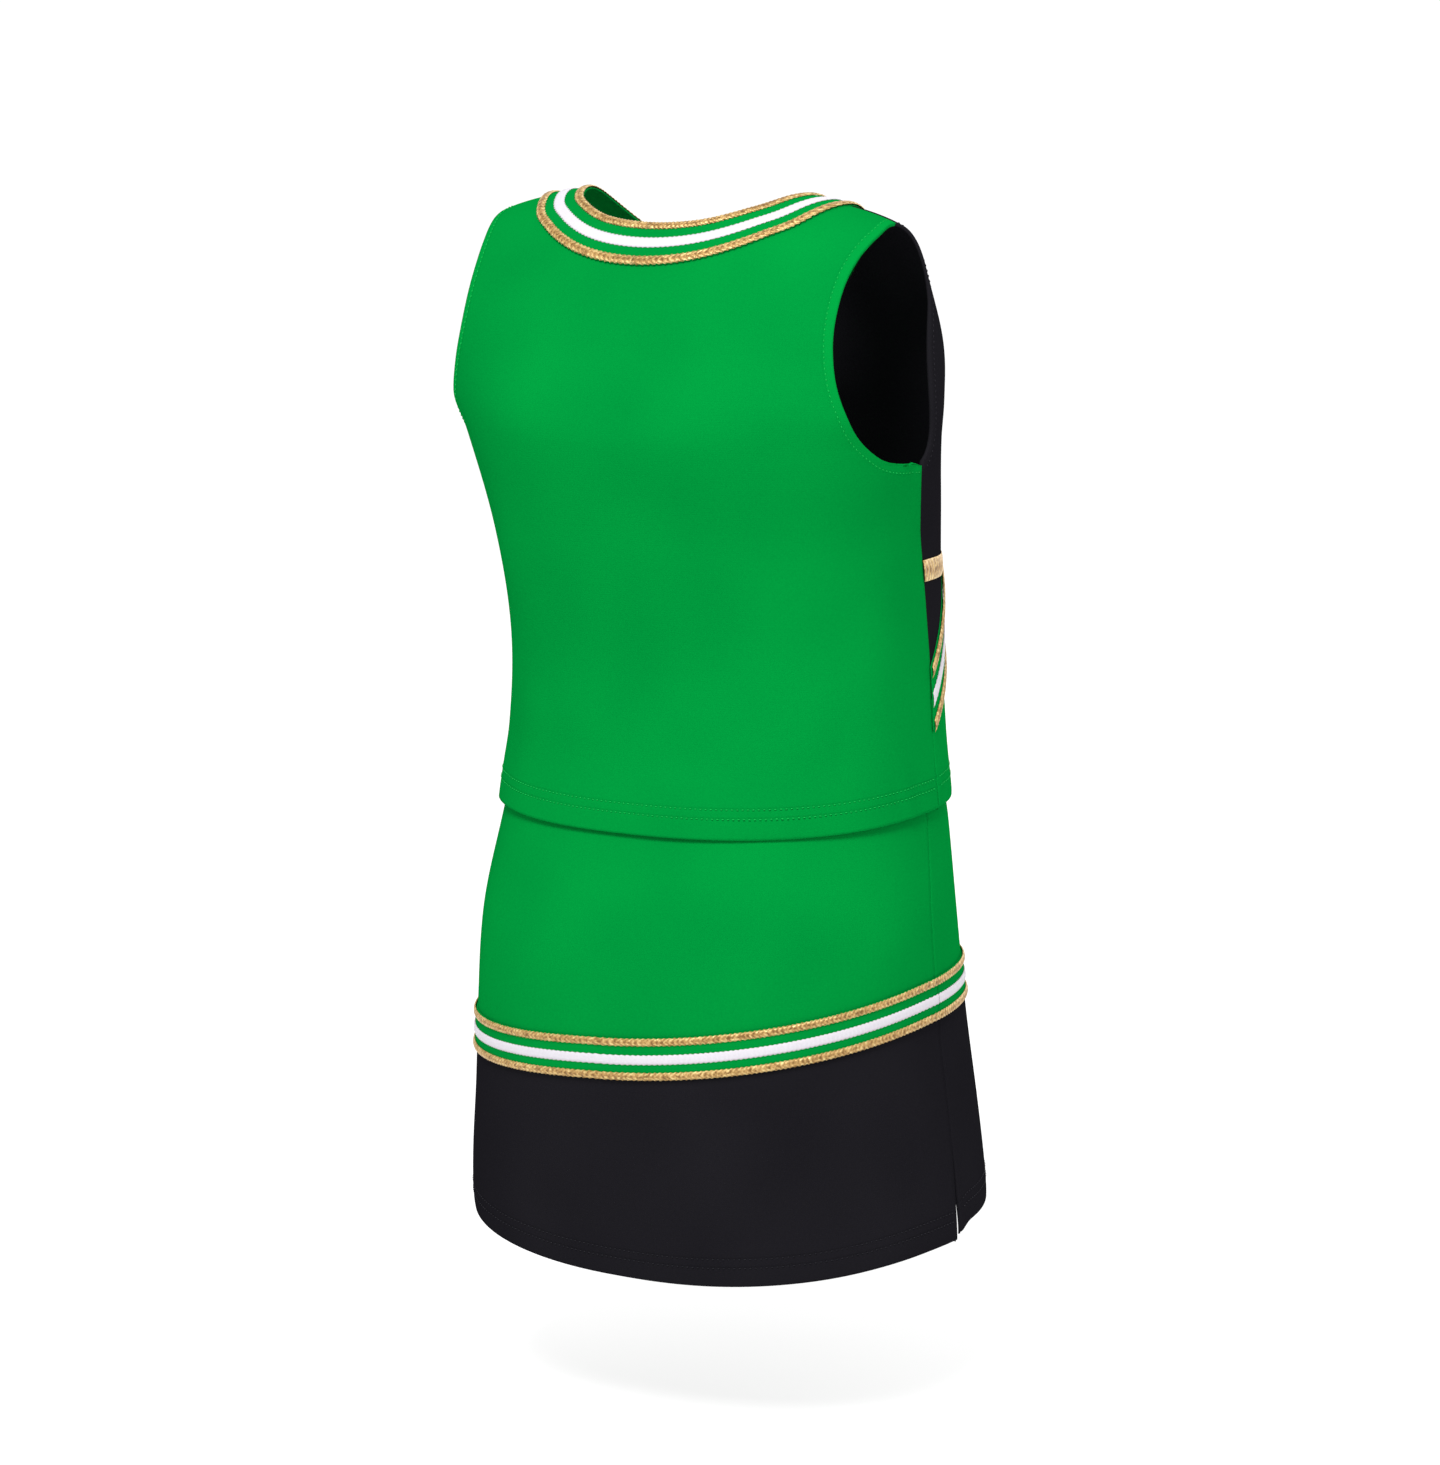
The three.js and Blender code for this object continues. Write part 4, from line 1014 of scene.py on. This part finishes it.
def ribbed_elastic(name):
    """Dull black woven elastic: raised lengthwise ribs over the rubber cords, painted shade between them.
    """
    material, tree = empty_material(name)
    flat = add_node(tree, "ShaderNodeUVMap", uv_map="cloth")
    ribs = add_node(tree, "ShaderNodeTexWave", {"Scale": WAVE_PERIOD / (2.2 * MM), "Distortion": 0.3},
                    {"Vector": flat.outputs[0]}, bands_direction="Y")
    # the tone follows the ribs' height: painted shade in the grooves and a painted highlight on the crests
    tone = add_node(tree, "ShaderNodeMix", {6: linear("#161619"), 7: linear("#2b2b30")},
                    {0: ribs.outputs["Fac"]}, data_type="RGBA")
    bump = add_node(tree, "ShaderNodeBump", {"Strength": 0.7, "Distance": 0.5 * MM},
                    {"Height": ribs.outputs["Fac"]})
    surface = add_node(tree, "ShaderNodeBsdfPrincipled", {"Roughness": 0.85},
                       {"Base Color": tone.outputs[2], "Normal": bump.outputs[0]})
    add_node(tree, "ShaderNodeOutputMaterial", links={"Surface": surface.outputs[0]})
    return material


def waistband_places(s, t):
    return np.stack([360 * s, -(WAIST["joint"] + (WAIST["top"] - WAIST["joint"]) * t)], 1)


def elastic_ripple(s, t):
    """The small gathers that elastic makes round a waist."""
    return 0.15 * np.sin(2 * np.pi * WAIST["gathers"] * s) * np.sin(np.pi * t)


waistband = sew("elastic_waistband", SKIRT, waistband_places, 240, 12,
                ribbed_elastic("ribbed waist elastic"), wall=2.0, crowd=0.3, ring=True,
                shape=elastic_ripple)
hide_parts("skirt_waistband")

# ---- Topstitching ----
# Polyester sewing thread, a shade lighter than the cloth: two needle lines round each hem and one round
# each armhole. A stitch shows for 1.5 mm of every 2.9 mm and sinks a little into the knit.


def sewing_thread(name, colour):
    """Spun polyester thread: nearly matt, with a twist too fine to see."""
    material, tree = empty_material(name)
    place = add_node(tree, "ShaderNodeTexCoord")
    twist = add_node(tree, "ShaderNodeTexNoise", {"Scale": 1 / (0.5 * MM), "Detail": 2.0},
                     {"Vector": place.outputs["Object"]})
    bump = add_node(tree, "ShaderNodeBump", {"Strength": 0.4, "Distance": 0.1 * MM},
                    {"Height": twist.outputs["Fac"]})
    surface = add_node(tree, "ShaderNodeBsdfPrincipled",
                       {"Base Color": linear(colour), "Roughness": 0.7, "Specular IOR Level": 0.05},
                       {"Normal": bump.outputs[0]})
    add_node(tree, "ShaderNodeOutputMaterial", links={"Surface": surface.outputs[0]})
    return material


GREEN_THREAD = sewing_thread("green polyester thread", "#16ad4e")
BLACK_THREAD = sewing_thread("black polyester thread", "#26252a")
STITCH = {"length": 1.5, "pitch": 2.9, "thickness": 0.6, "lift": 0.12}


def topstitch(name, garment, lines, thread):
    """Rows of stitches along lines on the worn cloth."""
    half = [STITCH[size] / 2 for size in ("length", "thickness", "thickness")]
    bm = bmesh.new()
    for line in lines:
        turn, drop = line(np.linspace(0, 1, 900)).T
        points, out = worn_cloth(garment, turn, drop, STITCH["lift"])
        lengths = np.concatenate([[0], np.cumsum(np.linalg.norm(np.diff(points, axis=0), axis=1))])
        for middle in np.arange(STITCH["pitch"], lengths[-1] - STITCH["pitch"], STITCH["pitch"]):
            spot, before, after, up = (
                Vector([np.interp(middle + off, lengths, column) for column in values.T])
                for off, values in ((0, points), (-1, points), (1, points), (0, out))
            )
            ahead = (after - before).normalized()
            aside = up.cross(ahead).normalized()
            turned = Matrix((ahead, aside, ahead.cross(aside))).transposed().to_4x4()
            size = Matrix.Diagonal((*half, 1))
            place = Matrix.Translation(spot * MM) @ turned @ size @ Matrix.Scale(MM, 4)
            bmesh.ops.create_icosphere(bm, subdivisions=1, radius=1.0, matrix=place)
    mesh = bpy.data.meshes.new(name)
    bm.to_mesh(mesh)
    bm.free()
    mesh.shade_smooth()
    mesh.materials.append(thread)
    piece = bpy.data.objects.new(name, mesh)
    bpy.context.collection.objects.link(piece)
    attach(piece, "root")
    return piece


def hem_row(garment, hem, above, start, end):
    """A needle line a height above a hem's edge, between two turns."""
    def at(u):
        turn = start + (end - start) * u
        return np.stack([turn, drop_to(garment, turn, hem(turn) + above)], 1)
    return at


def inside_armhole(line, into, distance):
    """A line beside an armhole, a distance into the panel, in turns (into) and drops."""
    def at(u):
        step = 0.004  # of the line's length, to either side
        here, ahead = line(u), line(np.minimum(u + step, 1)) - line(np.maximum(u - step, 0))
        per_turn = 1.95  # millimetres of cloth in a degree of turn there
        along = np.stack([ahead[:, 0] * per_turn, ahead[:, 1]], 1)
        along /= np.linalg.norm(along, axis=1)[:, None]
        aside = np.stack([-along[:, 1], along[:, 0]], 1) * distance * into
        return here + aside / (per_turn, 1)
    return at


topstitch("top_hem_stitches_back", TOP,
          [hem_row(TOP, top_hem_z, above, -96, 96) for above in HEM_ROWS], GREEN_THREAD)
topstitch("top_hem_stitches_front", TOP,
          [hem_row(TOP, top_hem_z, above, 98, 262) for above in HEM_ROWS], GREEN_THREAD)
back_row = inside_armhole(back_armhole, -1, ARMHOLE_ROW)
topstitch("armhole_stitches_back", TOP, [back_row, mirrored(back_row, 0.0)], GREEN_THREAD)
front_row = inside_armhole(front_armhole, 1, ARMHOLE_ROW)
topstitch("armhole_stitches_front", TOP, [front_row, mirrored(front_row)], BLACK_THREAD)
topstitch("skirt_hem_stitches_back", SKIRT,
          [hem_row(SKIRT, skirt_hem_z, above, -91, 91) for above in HEM_ROWS], BLACK_THREAD)
topstitch("skirt_hem_stitches_front", SKIRT,
          [hem_row(SKIRT, skirt_hem_z, above, 93.5, 266.5) for above in HEM_ROWS],
          BLACK_THREAD)
